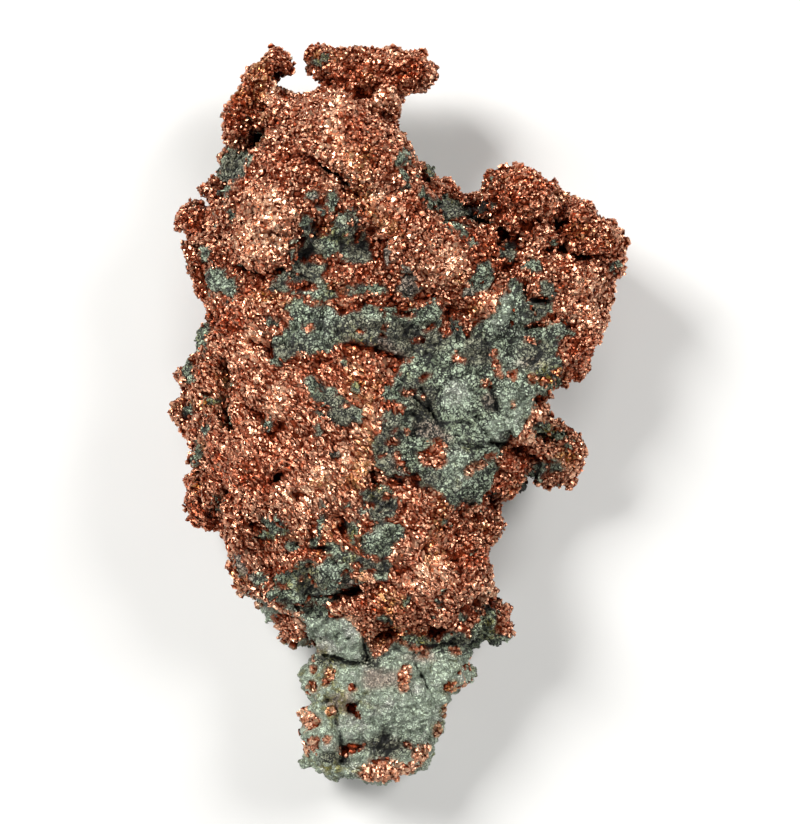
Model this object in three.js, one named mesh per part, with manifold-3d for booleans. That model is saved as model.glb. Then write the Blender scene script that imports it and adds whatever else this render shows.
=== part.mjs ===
// A native copper nugget: a thick, knobbly plate of copper that grew through green chlorite rock.
// It formed as one piece, so it is one solid, lying on the flatter of its two broad sides.
// Millimetres, +Z up: X across the nugget, Y along it with the stony foot at -Y, and the table at Z = 0.
// The origin is on the table, under the middle of the nugget's outline.

import * as THREE from "three";
import { ImprovedNoise } from "three/addons/math/ImprovedNoise.js";
import { mergeVertices } from "three/addons/utils/BufferGeometryUtils.js";
import Module from "manifold-3d";

const LENGTH = 104; // along Y, from the foot to the tip of the finger
const WIDTH = 64.4; // along X, from the left knobs to the right shoulder
const COARSE_SPAN = 9; // the surface wanders in and out over this distance
const COARSE_WANDER = 1.5; // by about this much
const FINE_SPAN = 4.2; // and over this shorter distance
const FINE_WANDER = 0.75; // by about this much
const NOISE_GAIN = 2; // the noise mostly keeps within a half, so it is doubled
const KNOB_ROUGHNESS = 0.5; // a knob wanders by this share of what a plate does
const KNOB_FACET = 4.2; // edge of a facet on the knobs
const RELIEF_REACH = 2; // the higher, the nearer the relief of the upper face runs to its rim
const SAME_POINT = 1e-3; // points closer than this are one point
const BELOW_TABLE = 20; // thickness of the slab that trims the resting faces flat

// The plates are lofted along Y and round off over a short length at their two ends.
// Each row of stations is [y, left edge, right edge, underside, top].
const BODY = {
  rings: 27,
  around: 39,
  squareness: 0.3,
  rounding: 3,
  stations: [
    [-33.6, -12.6, 9.6, 3, 17],
    [-30.5, -16.2, 12.2, 1.5, 21],
    [-25, -21.4, 13, 0, 25],
    [-20, -23.8, 11.6, -0.5, 26],
    [-15.5, -25, 13.6, -0.6, 27],
    [-12.5, -27, 13, -0.4, 27.5],
    [-5, -29.4, 17, 0.2, 28],
    [5, -29.6, 20.4, 0.3, 28],
    [14, -28.2, 21, -0.2, 28.5],
    [22, -28.8, 18, -0.2, 29.5],
    [28.5, -28.4, 9.6, 0.6, 30.5],
    [33, -25, 5.6, 2, 31],
    [37.5, -20.6, 3, 4.5, 30],
    [41.5, -19, -0.4, 7, 27],
    [46.4, -15, -5, 9, 22],
  ],
};

const SHOULDER = {
  rings: 15,
  around: 24,
  squareness: 0.25,
  rounding: 3,
  stations: [
    [-2, 8, 18.6, 3, 21],
    [2.2, 6, 20.8, 1, 23],
    [5, 5, 25.6, 0.4, 24],
    [10, 5, 28.2, -0.2, 24.5],
    [18, 6, 29.8, -0.2, 25],
    [23, 8, 29, 0.6, 25.5],
    [28, 11, 25, 2.4, 26],
    [33.6, 12.4, 20.4, 6, 24],
  ],
};

const FOOT = {
  rings: 14,
  around: 24,
  squareness: 0.6,
  rounding: 2,
  stations: [
    [-52.2, -12.2, 0.8, 2.6, 15],
    [-48, -14.4, 3.6, 1.2, 16.6],
    [-43.6, -15.2, 6.6, 0.6, 17.4],
    [-38, -15, 9.4, 0.2, 18],
    [-34, -13.6, 10.4, 0.4, 19],
    [-27, -11, 9, 2, 19],
  ],
};

const TOP_BAR = {
  rings: 9,
  around: 20,
  squareness: 0.55,
  rounding: 1.5,
  stations: [
    [44.2, -12, 2.6, 12.5, 19.5],
    [46.6, -12.6, 4.8, 11, 21],
    [48.2, -14.2, 5, 10.5, 21.6],
    [50.4, -14.2, 4.8, 10.8, 21],
    [51.8, -13, 2, 12, 20],
  ],
};

// Broad mounds and hollows of the upper face: [x, y, radius, height].
const RELIEF = [
  [-17.6, 25, 6.6, 4.2], // the big bulge
  [-8.6, 31.2, 2.4, -2.4], // crease between the bulge and the ridge
  [-5, 28.4, 2.4, -2],
  [-7.4, 38, 5.4, 3.4], // the ridge
  [-1, 33.6, 4.6, 2.4],
  [6, 20, 6.5, 2.2], // mound beside the shoulder
  [13.6, 26.6, 3, -5], // pocket behind the shoulder's knobs
  [-5.5, 23.5, 4, -2.2], // dark pockets of rock
  [-11.5, 11, 5, -2],
  [0.5, 12, 6, -3],
  [8, -1, 9, -2.6], // hollow where most of the rock shows
  [-18, 1, 8, 2.6], // crest of the left flank
  [-19, -11, 7, 2],
  [-2.5, -12, 4.5, -1.8],
  [6, -14, 4, 1.6],
  [-11, -26, 3.4, -4.5], // undercut above the foot
  [-5.5, -24.6, 2.6, -2.6],
  [4, -27.5, 6.5, 3], // copper shelf over the foot
];

// Each knob is [x, y, z, radius X, radius Y, radius Z, turn about Z in degrees, squareness].
const SHOULDER_KNOBS = [
  [16.8, 29, 19, 5.3, 4.6, 9, 0, 0.2],
  [13.4, 31.2, 16, 2.2, 2.7, 5, 0, 0],
  [15.2, 33, 18.5, 1.9, 1.9, 4, 0, 0],
  [20.2, 30.6, 15.5, 2.9, 2.8, 6.5, 0, 0.1],
  [25, 26.8, 18.5, 3.4, 3.2, 7.5, 0, 0.1],
  [28.2, 22.8, 16, 3.8, 3.8, 9, 0, 0.2],
  [29.4, 20.6, 10, 2.4, 3, 5, 0, 0],
];

const NECK = [
  [-8.4, 44.8, 15.5, 4.6, 3.2, 6, 0, 0.2],
  [-1.8, 43.8, 16.5, 2.3, 3.2, 4.6, 12, 0.2],
];

const FINGER = [
  [-17.6, 48.8, 14, 2, 3.3, 2.8, -18, 0.2],
  [-20, 45, 14.4, 2.6, 4.4, 3.4, -30, 0.2],
  [-17.4, 43.4, 14, 3.4, 2.8, 4.4, 0, 0.1],
  [-22.9, 40.4, 14.6, 1.8, 3.6, 2.6, -12, 0.2],
];

// Low swellings of the flanks, mostly sunk in the plates.
const SWELLINGS = [
  [-22.4, 23, 6.4, 6, 6.6, 5.6, 10, 0.1],
  [-23.4, -7, 6.6, 5.4, 8.4, 5.4, 8, 0.1],
  [-18.6, 35, 9, 5, 5.4, 5.6, 0, 0.1],
  [-24, 8, 20, 4.6, 6.2, 5, -8, 0.1],
  [-21.6, -15.4, 19.4, 4.4, 5.4, 5, 12, 0.1],
  [-13.6, -26.4, 8, 4.6, 4, 6, 20, 0.1],
  [9.4, -21, 19.6, 4.4, 5, 5, 0, 0.1],
  [11, -13, 7.4, 4.2, 5.4, 5.6, 0, 0.1],
  [16.6, 0.6, 18, 4.4, 5, 4.6, 20, 0.1],
  [24.6, 12.6, 18.4, 4.6, 5.6, 4.8, 0, 0.1],
  [23, 20, 7.6, 7, 7, 5.6, 0, 0.1],
  [2, 30, 9, 5.6, 5, 6.4, 30, 0.1],
  [-8, 40, 11, 6.4, 4.4, 6, 0, 0.1],
];

const RIDGE_NUBS = [
  [4.6, 33, 20, 1.9, 3.2, 6, 30, 0.1],
  [6.4, 31.6, 17, 2, 2.2, 6, 25, 0],
  [8.8, 29.6, 15, 2, 1.7, 5, 0, 0],
];

const LEFT_KNOBS = [
  [-23.6, 34.4, 13, 2.9, 3.1, 6, 0, 0.3], // rock below the finger's tip
  [-25.6, 31.3, 15.5, 2.8, 2, 3.6, 0, 0.1],
  [-28, 27.3, 12, 3.9, 2.7, 4.4, 0, 0.2],
  [-27.6, 23.8, 16, 3, 2.3, 3.4, 0, 0],
  [-26.6, 20.4, 10.5, 3.3, 2.8, 4.4, 0, 0.1],
  [-25.6, 16.4, 16, 2.8, 3.1, 4.4, 0, 0.2],
  [-26.9, 10, 12.5, 2.3, 2.4, 3.8, 0, 0.1],
  [-28.4, 5.2, 14.5, 3.8, 2.7, 4.2, 0, 0.2],
  [-28.7, 0.6, 9.8, 3.6, 3, 4, -6, 0.1],
  [-27.5, -5, 14.5, 2.7, 3.8, 4.6, 10, 0.2],
  [-27, -11.2, 10.5, 3.6, 2.8, 4.4, 0, 0.1],
  [-27.2, -14.8, 12.5, 1.8, 2.1, 3, 12, 0],
];

const RIGHT_KNOBS = [
  [18.2, -4.6, 11, 5.2, 2.5, 5, -20, 0.1], // neck of the side knob
  [22.6, -4.4, 11.4, 3.1, 3.2, 5, 0, 0.4],
  [22, -8, 10.2, 3.2, 2.6, 4.2, 0, 0.2],
  [14.4, -9.6, 12, 3, 2.6, 6, -35, 0.1],
  [12, -16.6, 14, 2.4, 2.8, 6.5, 0, 0.2],
  [12.9, -29.4, 11.5, 3.4, 3.4, 6, -25, 0.2],
];

const LOWER_KNOBS = [
  [-21.6, -22.4, 11, 2.4, 3, 5.5, 10, 0.1],
  [-17.8, -27.4, 12, 2.3, 2.2, 5.5, 30, 0.1],
  [-14.6, -31, 10, 3, 2, 5, 20, 0.1],
];

const wasm = await Module();
wasm.setup();
const noise = new ImprovedNoise();

// Moves each point in or out from the given axis by smooth noise, so that no surface is plain.
function roughen(point, outward) {
  const coarse = noise.noise(point.x / COARSE_SPAN, point.y / COARSE_SPAN, point.z / COARSE_SPAN);
  const fine = noise.noise(point.x / FINE_SPAN, point.y / FINE_SPAN, point.z / FINE_SPAN);
  return point.addScaledVector(outward, NOISE_GAIN * (COARSE_WANDER * coarse + FINE_WANDER * fine));
}

// Pushes a direction out from the unit circle or sphere towards the unit square or cube.
function squareUp(direction, squareness) {
  const block = Math.max(Math.abs(direction.x), Math.abs(direction.y), Math.abs(direction.z));
  return direction.divideScalar(THREE.MathUtils.lerp(1, block, squareness));
}

// The edges, underside and top of a plate at a given y, between its stations.
function sectionAt(stations, y) {
  const next = Math.max(1, stations.findIndex((station) => station[0] >= y));
  const before = stations[next - 1];
  const share = (y - before[0]) / (stations[next][0] - before[0]);
  return before.map((value, column) => THREE.MathUtils.lerp(value, stations[next][column], share));
}

function reliefAt(x, y) {
  return RELIEF.reduce((height, [moundX, moundY, radius, rise]) => {
    const distance = Math.hypot(x - moundX, y - moundY) / radius;
    return height + rise * Math.exp(-distance * distance);
  }, 0);
}

// A sphere with its poles along Y, whose rings are stretched to the sections of the plate.
function plateGeometry({ rings, around, squareness, rounding, stations }) {
  const geometry = new THREE.SphereGeometry(1, around, rings);
  geometry.deleteAttribute("normal");
  geometry.deleteAttribute("uv");
  const position = geometry.getAttribute("position");
  const first = stations[0][0];
  const last = stations[stations.length - 1][0];
  const point = new THREE.Vector3();
  for (let i = 0; i < position.count; i++) {
    point.fromBufferAttribute(position, i);
    const along = 1 - Math.acos(THREE.MathUtils.clamp(point.y, -1, 1)) / Math.PI;
    const y = THREE.MathUtils.lerp(first, last, along);
    const [, left, right, under, top] = sectionAt(stations, y);
    const toEnd = Math.min(1, Math.min(y - first, last - y) / rounding);
    const fullness = Math.sqrt(toEnd * (2 - toEnd));
    const ring = new THREE.Vector3(point.x, 0, point.z);
    if (ring.length() > SAME_POINT && fullness > 0) squareUp(ring.normalize(), squareness);
    const centre = new THREE.Vector3((left + right) / 2, y, (under + top) / 2);
    const outward = new THREE.Vector3(ring.x * (right - left), 0, ring.z * (top - under));
    point.copy(centre).addScaledVector(outward, fullness / 2);
    if (ring.z > 0) point.z += fullness * Math.min(1, RELIEF_REACH * ring.z) * reliefAt(point.x, point.y);
    if (outward.length() > 0) roughen(point, outward.normalize().multiplyScalar(fullness));
    position.setXYZ(i, point.x, point.y, point.z);
  }
  return mergeVertices(geometry, SAME_POINT);
}

// An icosahedron split into small facets and stretched into a knob.
function knobGeometry([x, y, z, rx, ry, rz, turn, squareness]) {
  const detail = Math.max(1, Math.round(Math.max(rx, ry, rz) / KNOB_FACET));
  const geometry = new THREE.IcosahedronGeometry(1, detail);
  geometry.deleteAttribute("normal");
  geometry.deleteAttribute("uv");
  const position = geometry.getAttribute("position");
  const point = new THREE.Vector3();
  const centre = new THREE.Vector3(x, y, z);
  const tilt = new THREE.Quaternion().setFromAxisAngle(
    new THREE.Vector3(0, 0, 1),
    THREE.MathUtils.degToRad(turn),
  );
  for (let i = 0; i < position.count; i++) {
    squareUp(point.fromBufferAttribute(position, i), squareness);
    point.multiply(new THREE.Vector3(rx, ry, rz)).applyQuaternion(tilt);
    const outward = point.clone().normalize().multiplyScalar(KNOB_ROUGHNESS);
    roughen(point.add(centre), outward);
    position.setXYZ(i, point.x, point.y, point.z);
  }
  return mergeVertices(geometry, SAME_POINT);
}

// The slab that lies just under the table's surface: what reaches into it is worn flat.
function tableSlab() {
  const slab = new THREE.BoxGeometry(2 * WIDTH, 2 * LENGTH, BELOW_TABLE);
  slab.deleteAttribute("normal");
  slab.deleteAttribute("uv");
  slab.translate(0, 0, -BELOW_TABLE / 2);
  return mergeVertices(slab, SAME_POINT);
}

function solidOf(geometry) {
  return new wasm.Manifold(
    new wasm.Mesh({
      numProp: 3,
      vertProperties: new Float32Array(geometry.getAttribute("position").array),
      triVerts: new Uint32Array(geometry.index.array),
    }),
  );
}

function geometryOf(solid) {
  const mesh = solid.getMesh();
  return new THREE.BufferGeometry()
    .setAttribute("position", new THREE.BufferAttribute(new Float32Array(mesh.vertProperties), 3))
    .setIndex(new THREE.BufferAttribute(new Uint32Array(mesh.triVerts), 1));
}

// Joins the plates and knobs, trims them on the table, and fits the outline to the stated length and width.
function nuggetGeometry() {
  const plates = [BODY, SHOULDER, FOOT, TOP_BAR].map(plateGeometry);
  const knobs = [SHOULDER_KNOBS, NECK, FINGER, SWELLINGS, RIDGE_NUBS, LEFT_KNOBS, RIGHT_KNOBS, LOWER_KNOBS]
    .flat()
    .map(knobGeometry);
  const joined = [...plates, ...knobs].map(solidOf).reduce((all, one) => all.add(one));
  const geometry = geometryOf(joined.subtract(solidOf(tableSlab())));
  geometry.computeBoundingBox();
  const middle = geometry.boundingBox.getCenter(new THREE.Vector3());
  const size = geometry.boundingBox.getSize(new THREE.Vector3());
  geometry.translate(-middle.x, -middle.y, 0);
  geometry.scale(WIDTH / size.x, LENGTH / size.y, 1);
  return geometry;
}

const nativeCopper = new THREE.MeshStandardMaterial({ color: 0xb8704f, roughness: 0.35, metalness: 1 });
const nugget = new THREE.Mesh(nuggetGeometry(), nativeCopper);
nugget.name = "copper_nugget";

const group = new THREE.Group();
group.add(nugget);
export default group;
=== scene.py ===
"""A native copper nugget: sugary copper crystals grown through granular green chlorite rock.

The construction model gives the nugget's size and broad form. This script lays a finer skin over it, with
the creases, ridges and pockets of the real surface, crusts it with copper crystals and rock flakes, and
dresses it. Objects are in metres in the construction model's frame. The fields that shape and tint the
surface work in millimetres, with X across the nugget, Y along it and Z out of the broad face that shows.
"""

import itertools
import logging
import math
from dataclasses import dataclass
from enum import Enum, IntEnum

import bmesh
import bpy
import numpy as np
from mathutils import Matrix, Vector


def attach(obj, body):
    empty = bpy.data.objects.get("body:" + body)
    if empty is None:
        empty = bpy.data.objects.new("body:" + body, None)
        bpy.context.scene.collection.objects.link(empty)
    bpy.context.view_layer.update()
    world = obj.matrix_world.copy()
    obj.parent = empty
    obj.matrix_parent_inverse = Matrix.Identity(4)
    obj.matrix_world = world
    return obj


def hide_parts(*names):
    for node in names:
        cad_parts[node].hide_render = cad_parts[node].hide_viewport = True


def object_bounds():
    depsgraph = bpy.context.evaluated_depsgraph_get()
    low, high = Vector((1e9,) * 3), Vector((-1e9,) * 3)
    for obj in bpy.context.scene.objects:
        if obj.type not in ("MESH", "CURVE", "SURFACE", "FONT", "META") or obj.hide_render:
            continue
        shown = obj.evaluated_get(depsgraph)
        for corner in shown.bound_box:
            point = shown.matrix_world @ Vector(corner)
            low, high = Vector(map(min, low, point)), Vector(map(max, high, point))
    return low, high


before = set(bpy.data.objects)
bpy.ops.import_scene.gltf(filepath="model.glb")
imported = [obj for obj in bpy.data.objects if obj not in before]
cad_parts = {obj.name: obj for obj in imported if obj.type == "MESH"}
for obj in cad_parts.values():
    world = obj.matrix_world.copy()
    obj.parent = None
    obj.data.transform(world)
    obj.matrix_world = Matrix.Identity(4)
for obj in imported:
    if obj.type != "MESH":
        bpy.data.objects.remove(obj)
CAD_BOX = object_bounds()

LOG = logging.getLogger("nugget")
NODE = "copper_nugget"
BODY = "root"
MM = 0.001


class Slot(Enum):
    """The record's material slots."""

    COPPER = "native_copper"
    ROCK = "green_matrix"


class Trait(Enum):
    """What the surface is like at a point; each is stored on the meshes as an attribute from 0 to 1."""

    ROCK = "rock"
    PALE = "pale"
    RUDDY = "ruddy"
    OLIVE = "olive"
    DARK = "dark"
    # How sunken the point is; the finishes paint shade from it.
    HOLLOW = "hollow"
    SHADE = "shade"


class Noise(IntEnum):
    """The seeds of the surface's noises, each ten or more from the next so that none repeats another."""

    EDGES = 300
    MINGLING = 330
    FLANK_ROCK = 340
    HIDDEN_SPECKS = 350
    WARMTH = 360
    PALENESS = 370
    OLIVE_STAIN = 380
    COPPER_ROLL = 400
    COPPER_GRAIN = 420
    STONE_ROLL = 430
    STONE_LUMPS = 440
    STONE_GRAIN = 450
    COPPER_CLUMPS = 460
    COPPER_KNOBS = 470
    COPPER_STREAKS = 480


# ---------------------------------------------------------------------------------------------------------
# Fields: noise and marks, evaluated for many points at once
# ---------------------------------------------------------------------------------------------------------


def smoothstep(low: float, high: float, value: np.ndarray) -> np.ndarray:
    """Ease from 0 at low to 1 at high."""
    share = np.clip((value - low) / (high - low), 0.0, 1.0)
    return share * share * (3.0 - 2.0 * share)


def blend(first: np.ndarray, second: np.ndarray, share: np.ndarray) -> np.ndarray:
    """Mix two fields: share 0 gives the first, 1 the second."""
    return first + (second - first) * share


def cell_hash(cells: np.ndarray, seed: int) -> np.ndarray:
    """Give each whole-numbered cell its own number from 0 to 1.

    Args:
        cells: N x 3 whole numbers.
        seed: picks one of many independent sets.

    Returns:
        N numbers from 0 to 1.
    """
    mixed = cells @ np.array([73856093, 19349663, 83492791], dtype=np.int64) + seed * 2654435761
    mixed = (mixed ^ (mixed >> 13)) * 1274126177
    mixed = (mixed ^ (mixed >> 16)) * 668265263
    return ((mixed ^ (mixed >> 15)) & 0xFFFFF) / 0xFFFFF


def lattice_noise(points: np.ndarray, seed: int) -> np.ndarray:
    """Smooth noise from -1 to 1 with features about one unit across.

    Args:
        points: N x 3 places.
        seed: picks one of many independent noises.

    Returns:
        N heights.
    """
    base = np.floor(points).astype(np.int64)
    part = points - base
    part = part * part * (3.0 - 2.0 * part)
    total = np.zeros(len(points))
    for corner in itertools.product((0, 1), repeat=3):
        weight = np.prod(np.where(np.array(corner) == 1, part, 1.0 - part), axis=1)
        total += weight * cell_hash(base + np.array(corner), seed)
    return 2.0 * total - 1.0


def turn_matrix(angles: tuple[float, float, float]) -> np.ndarray:
    """Work out a rotation about X, then Y, then Z.

    Args:
        angles: the three turns in degrees.

    Returns:
        A 3 x 3 array.
    """
    turned = Matrix.Identity(3)
    for axis, angle in zip("XYZ", angles):
        turned = Matrix.Rotation(math.radians(angle), 3, axis) @ turned
    return np.array(turned)


OCTAVE_TURN = turn_matrix((31.0, 47.0, 19.0))


def fractal_noise(points: np.ndarray, span: float, octaves: int, seed: int) -> np.ndarray:
    """Noise with detail on detail, each octave half the size and a little over half the height.

    Args:
        points: N x 3 places in millimetres.
        span: size of the largest features in millimetres.
        octaves: how many sizes of detail.
        seed: picks one of many independent noises.

    Returns:
        N heights, mostly from -1 to 1.
    """
    octave_gain = 0.55
    place = points / span
    total = np.zeros(len(points))
    height = 1.0
    for octave in range(octaves):
        total += height * lattice_noise(place, seed + octave)
        place = (place @ OCTAVE_TURN) * 2.0
        height *= octave_gain
    return total


def clump_gaps(points: np.ndarray, span: float, seed: int) -> np.ndarray:
    """How close each point is to the gap between rounded clumps.

    Args:
        points: N x 3 places in millimetres.
        span: size of a clump in millimetres.
        seed: picks one of many independent patterns.

    Returns:
        N numbers: 0 in the gap between two clumps, towards 1 at a clump's middle.
    """
    place = points / span
    base = np.floor(place).astype(np.int64)
    nearest = np.full(len(points), np.inf)
    second = np.full(len(points), np.inf)
    for offset in itertools.product((-1, 0, 1), repeat=3):
        cell = base + np.array(offset)
        centre = cell + np.stack([cell_hash(cell, seed + axis) for axis in range(3)], axis=1)
        distance = np.linalg.norm(place - centre, axis=1)
        second = np.minimum(second, np.maximum(nearest, distance))
        nearest = np.minimum(nearest, distance)
    return np.clip(second - nearest, 0.0, 1.0)


def line_distance(points: np.ndarray, start: tuple[float, float], end: tuple[float, float]) -> np.ndarray:
    """How far each point is from a straight stretch of a line, seen from above.

    Args:
        points: N x 3 places.
        start: one end of the stretch.
        end: its other end.

    Returns:
        N distances.
    """
    run = np.array(end) - np.array(start)
    offset = points[:, :2] - np.array(start)
    share = np.clip(offset @ run / (run @ run), 0.0, 1.0)
    gap = offset - share[:, None] * run
    return np.hypot(gap[:, 0], gap[:, 1])


@dataclass(frozen=True)
class Patch:
    """An oval spot on the broad face: its middle, its half width and half height, and its turn in degrees."""

    x: float
    y: float
    across: float
    along: float
    turn: float = 0.0

    def depth(self, points: np.ndarray) -> np.ndarray:
        """How far each point is inside the spot.

        Args:
            points: N x 3 places in millimetres.

        Returns:
            N depths in millimetres, negative outside.
        """
        angle = math.radians(self.turn)
        east, north = points[:, 0] - self.x, points[:, 1] - self.y
        local_x = (east * math.cos(angle) + north * math.sin(angle)) / self.across
        local_y = (north * math.cos(angle) - east * math.sin(angle)) / self.along
        return (1.0 - np.hypot(local_x, local_y)) * min(self.across, self.along)


@dataclass(frozen=True)
class Seam:
    """A crease or a ridge along a drawn line: its points, half width and rise (down if negative)."""

    points: tuple[tuple[float, float], ...]
    width: float
    rise: float

    def height(self, points: np.ndarray) -> np.ndarray:
        """The seam's rise at each point.

        Args:
            points: N x 3 places in millimetres.

        Returns:
            N heights in millimetres.
        """
        nearest = np.full(len(points), np.inf)
        for start, end in itertools.pairwise(self.points):
            nearest = np.minimum(nearest, line_distance(points, start, end))
        return self.rise * np.exp(-((nearest / self.width) ** 2))


@dataclass(frozen=True)
class Swell:
    """A round mound or pit: its middle, its radius, and its rise (down if negative)."""

    x: float
    y: float
    radius: float
    rise: float

    def height(self, points: np.ndarray) -> np.ndarray:
        """The mound's rise at each point, in millimetres."""
        distance = np.hypot(points[:, 0] - self.x, points[:, 1] - self.y) / self.radius
        return self.rise * np.exp(-(distance**2))


@dataclass(frozen=True)
class Zone:
    """A patch with a drawn outline on the broad face."""

    outline: tuple[tuple[float, float], ...]

    def depth(self, points: np.ndarray) -> np.ndarray:
        """How far each point is inside the zone.

        Args:
            points: N x 3 places in millimetres.

        Returns:
            N depths in millimetres, negative outside.
        """
        nearest = np.full(len(points), np.inf)
        inside = np.zeros(len(points), dtype=bool)
        east, north = points[:, 0], points[:, 1]
        for start, end in itertools.pairwise((*self.outline, self.outline[0])):
            nearest = np.minimum(nearest, line_distance(points, start, end))
            (x0, y0), (x1, y1) = start, end
            if y0 != y1:
                spans = (y0 > north) != (y1 > north)
                inside ^= spans & (east - x0 < (north - y0) * (x1 - x0) / (y1 - y0))
        return np.where(inside, nearest, -nearest)


@dataclass(frozen=True)
class Nudge:
    """A push on the side of the nugget: its middle, its radius, and how far it goes east and north."""

    x: float
    y: float
    radius: float
    east: float
    north: float

    def shift(self, points: np.ndarray) -> np.ndarray:
        """How far the push moves each point, in millimetres."""
        distance = np.hypot(points[:, 0] - self.x, points[:, 1] - self.y) / self.radius
        return np.exp(-(distance**2))[:, None] * np.array([self.east, self.north, 0.0])


@dataclass(frozen=True)
class Clumps:
    """Rounded clumps that cover a surface: their size, their rise, their gaps' width and their noise."""

    span: float
    rise: float
    gap: float
    noise: Noise

    def height(self, points: np.ndarray) -> np.ndarray:
        """How far the clumps stand up at each point, in millimetres, from 0 in the gaps."""
        return self.rise * smoothstep(0.0, self.gap, clump_gaps(points, self.span, self.noise))


# ---------------------------------------------------------------------------------------------------------
# The nugget's marks, placed on the broad face
# ---------------------------------------------------------------------------------------------------------

NUDGES = (
    Nudge(-24.0, 43.4, 4.0, -1.5, 0.3),
    Nudge(-24.8, 38.2, 2.0, -0.8, 0.0),
    Nudge(-20.4, 48.2, 3.0, -1.1, 1.0),
    Nudge(-17.6, 51.0, 2.2, -0.2, 1.3),
    Nudge(-15.6, 50.4, 1.6, 0.0, -0.6),
    Nudge(-15.8, 47.0, 1.4, -1.6, 0.0),
    Nudge(-13.4, 47.2, 1.6, 0.8, 0.0),
    Nudge(-8.0, 51.2, 3.0, 0.0, 0.6),
    Nudge(1.6, 51.0, 3.0, 0.0, 0.5),
    Nudge(4.6, 45.6, 1.3, -0.9, 0.2),
    Nudge(1.0, 41.6, 2.2, -2.2, -0.4),
    Nudge(3.0, 37.6, 2.2, -0.8, -0.4),
    Nudge(6.6, 33.8, 2.8, -1.0, -1.4),
    Nudge(9.4, 32.2, 1.9, 0.0, -1.6),
    Nudge(10.6, 30.2, 1.7, 0.0, -2.4),
    Nudge(13.0, 34.6, 2.0, 0.0, -0.5),
    Nudge(21.4, 32.6, 2.8, -0.4, -0.9),
    Nudge(23.0, 31.2, 1.4, -0.3, -0.8),
    Nudge(26.6, 28.8, 2.8, -0.6, -0.9),
    Nudge(28.8, 27.4, 1.6, -0.4, -0.5),
    Nudge(30.2, 14.6, 2.4, 0.4, 0.0),
    Nudge(23.6, 3.2, 1.8, -0.3, 1.6),
    Nudge(21.0, 1.4, 1.5, -1.1, 0.0),
    Nudge(24.6, -6.6, 3.2, 1.8, 0.0),
    Nudge(22.4, -1.2, 1.6, 0.6, 0.5),
    Nudge(23.2, -10.0, 1.8, 0.0, -0.9),
    Nudge(17.8, -8.2, 1.5, 0.0, -2.4),
    Nudge(15.4, -11.8, 1.4, 0.5, -0.3),
    Nudge(14.0, -13.4, 1.4, -0.9, 0.0),
    Nudge(14.0, -16.8, 1.8, 0.9, 0.0),
    Nudge(12.8, -20.6, 1.6, -1.0, 0.0),
    Nudge(13.0, -25.0, 1.5, 1.5, -0.6),
    Nudge(15.4, -27.0, 1.2, -0.6, 0.0),
    Nudge(17.4, -31.0, 1.4, -0.4, 0.7),
    Nudge(11.6, -32.4, 1.3, 0.0, 0.9),
    Nudge(13.8, -32.4, 1.8, 0.0, -0.7),
    Nudge(8.6, -39.0, 2.2, 2.2, -0.3),
    Nudge(10.4, -35.6, 1.2, -0.6, 0.0),
    Nudge(-31.0, 3.4, 3.6, -2.2, 0.0),
    Nudge(-31.2, -0.8, 2.2, -1.1, -1.1),
    Nudge(-29.4, -8.6, 2.4, -1.5, 0.0),
    Nudge(-29.0, -14.0, 3.0, -2.1, -0.8),
    Nudge(-26.6, -16.2, 1.3, 1.2, 1.2),
    Nudge(-29.4, 16.8, 2.4, 1.3, 0.0),
    Nudge(-27.6, 12.8, 1.4, 0.6, 0.0),
    Nudge(-31.2, 26.8, 2.8, -1.4, 0.2),
    Nudge(-30.6, 22.8, 1.6, 0.6, 0.0),
    Nudge(-29.6, 19.4, 1.6, -0.7, 0.0),
    Nudge(-28.8, 30.4, 1.6, 0.0, -0.5),
    Nudge(-27.6, 31.4, 1.6, -1.5, 0.4),
    Nudge(-22.0, -25.4, 3.2, -1.2, -1.4),
    Nudge(-18.0, -29.4, 2.8, -0.8, -0.9),
    Nudge(-14.4, -32.2, 2.2, 0.2, -1.1),
    Nudge(-14.4, -37.6, 1.8, -1.0, 0.0),
    Nudge(-14.2, -41.6, 1.6, 0.9, 0.0),
    Nudge(-13.4, -34.2, 1.6, 0.0, -0.4),
    Nudge(-12.8, -49.4, 3.4, -1.2, -1.5),
    Nudge(-9.0, -51.0, 2.4, 0.0, -0.9),
    Nudge(-2.4, -50.8, 4.2, 0.0, -2.0),
)

# Where small gaps of the rough form are filled: middles and radii.
FILLERS = (
    ((-20.8, 38.6, 8.0), 3.0),
    ((-17.6, 36.4, 8.0), 2.6),
    ((-4.6, 45.2, 18.6), 2.2),
    ((-1.6, 43.4, 18.4), 2.7),
    ((-8.0, 44.6, 18.6), 2.2),
)

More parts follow.
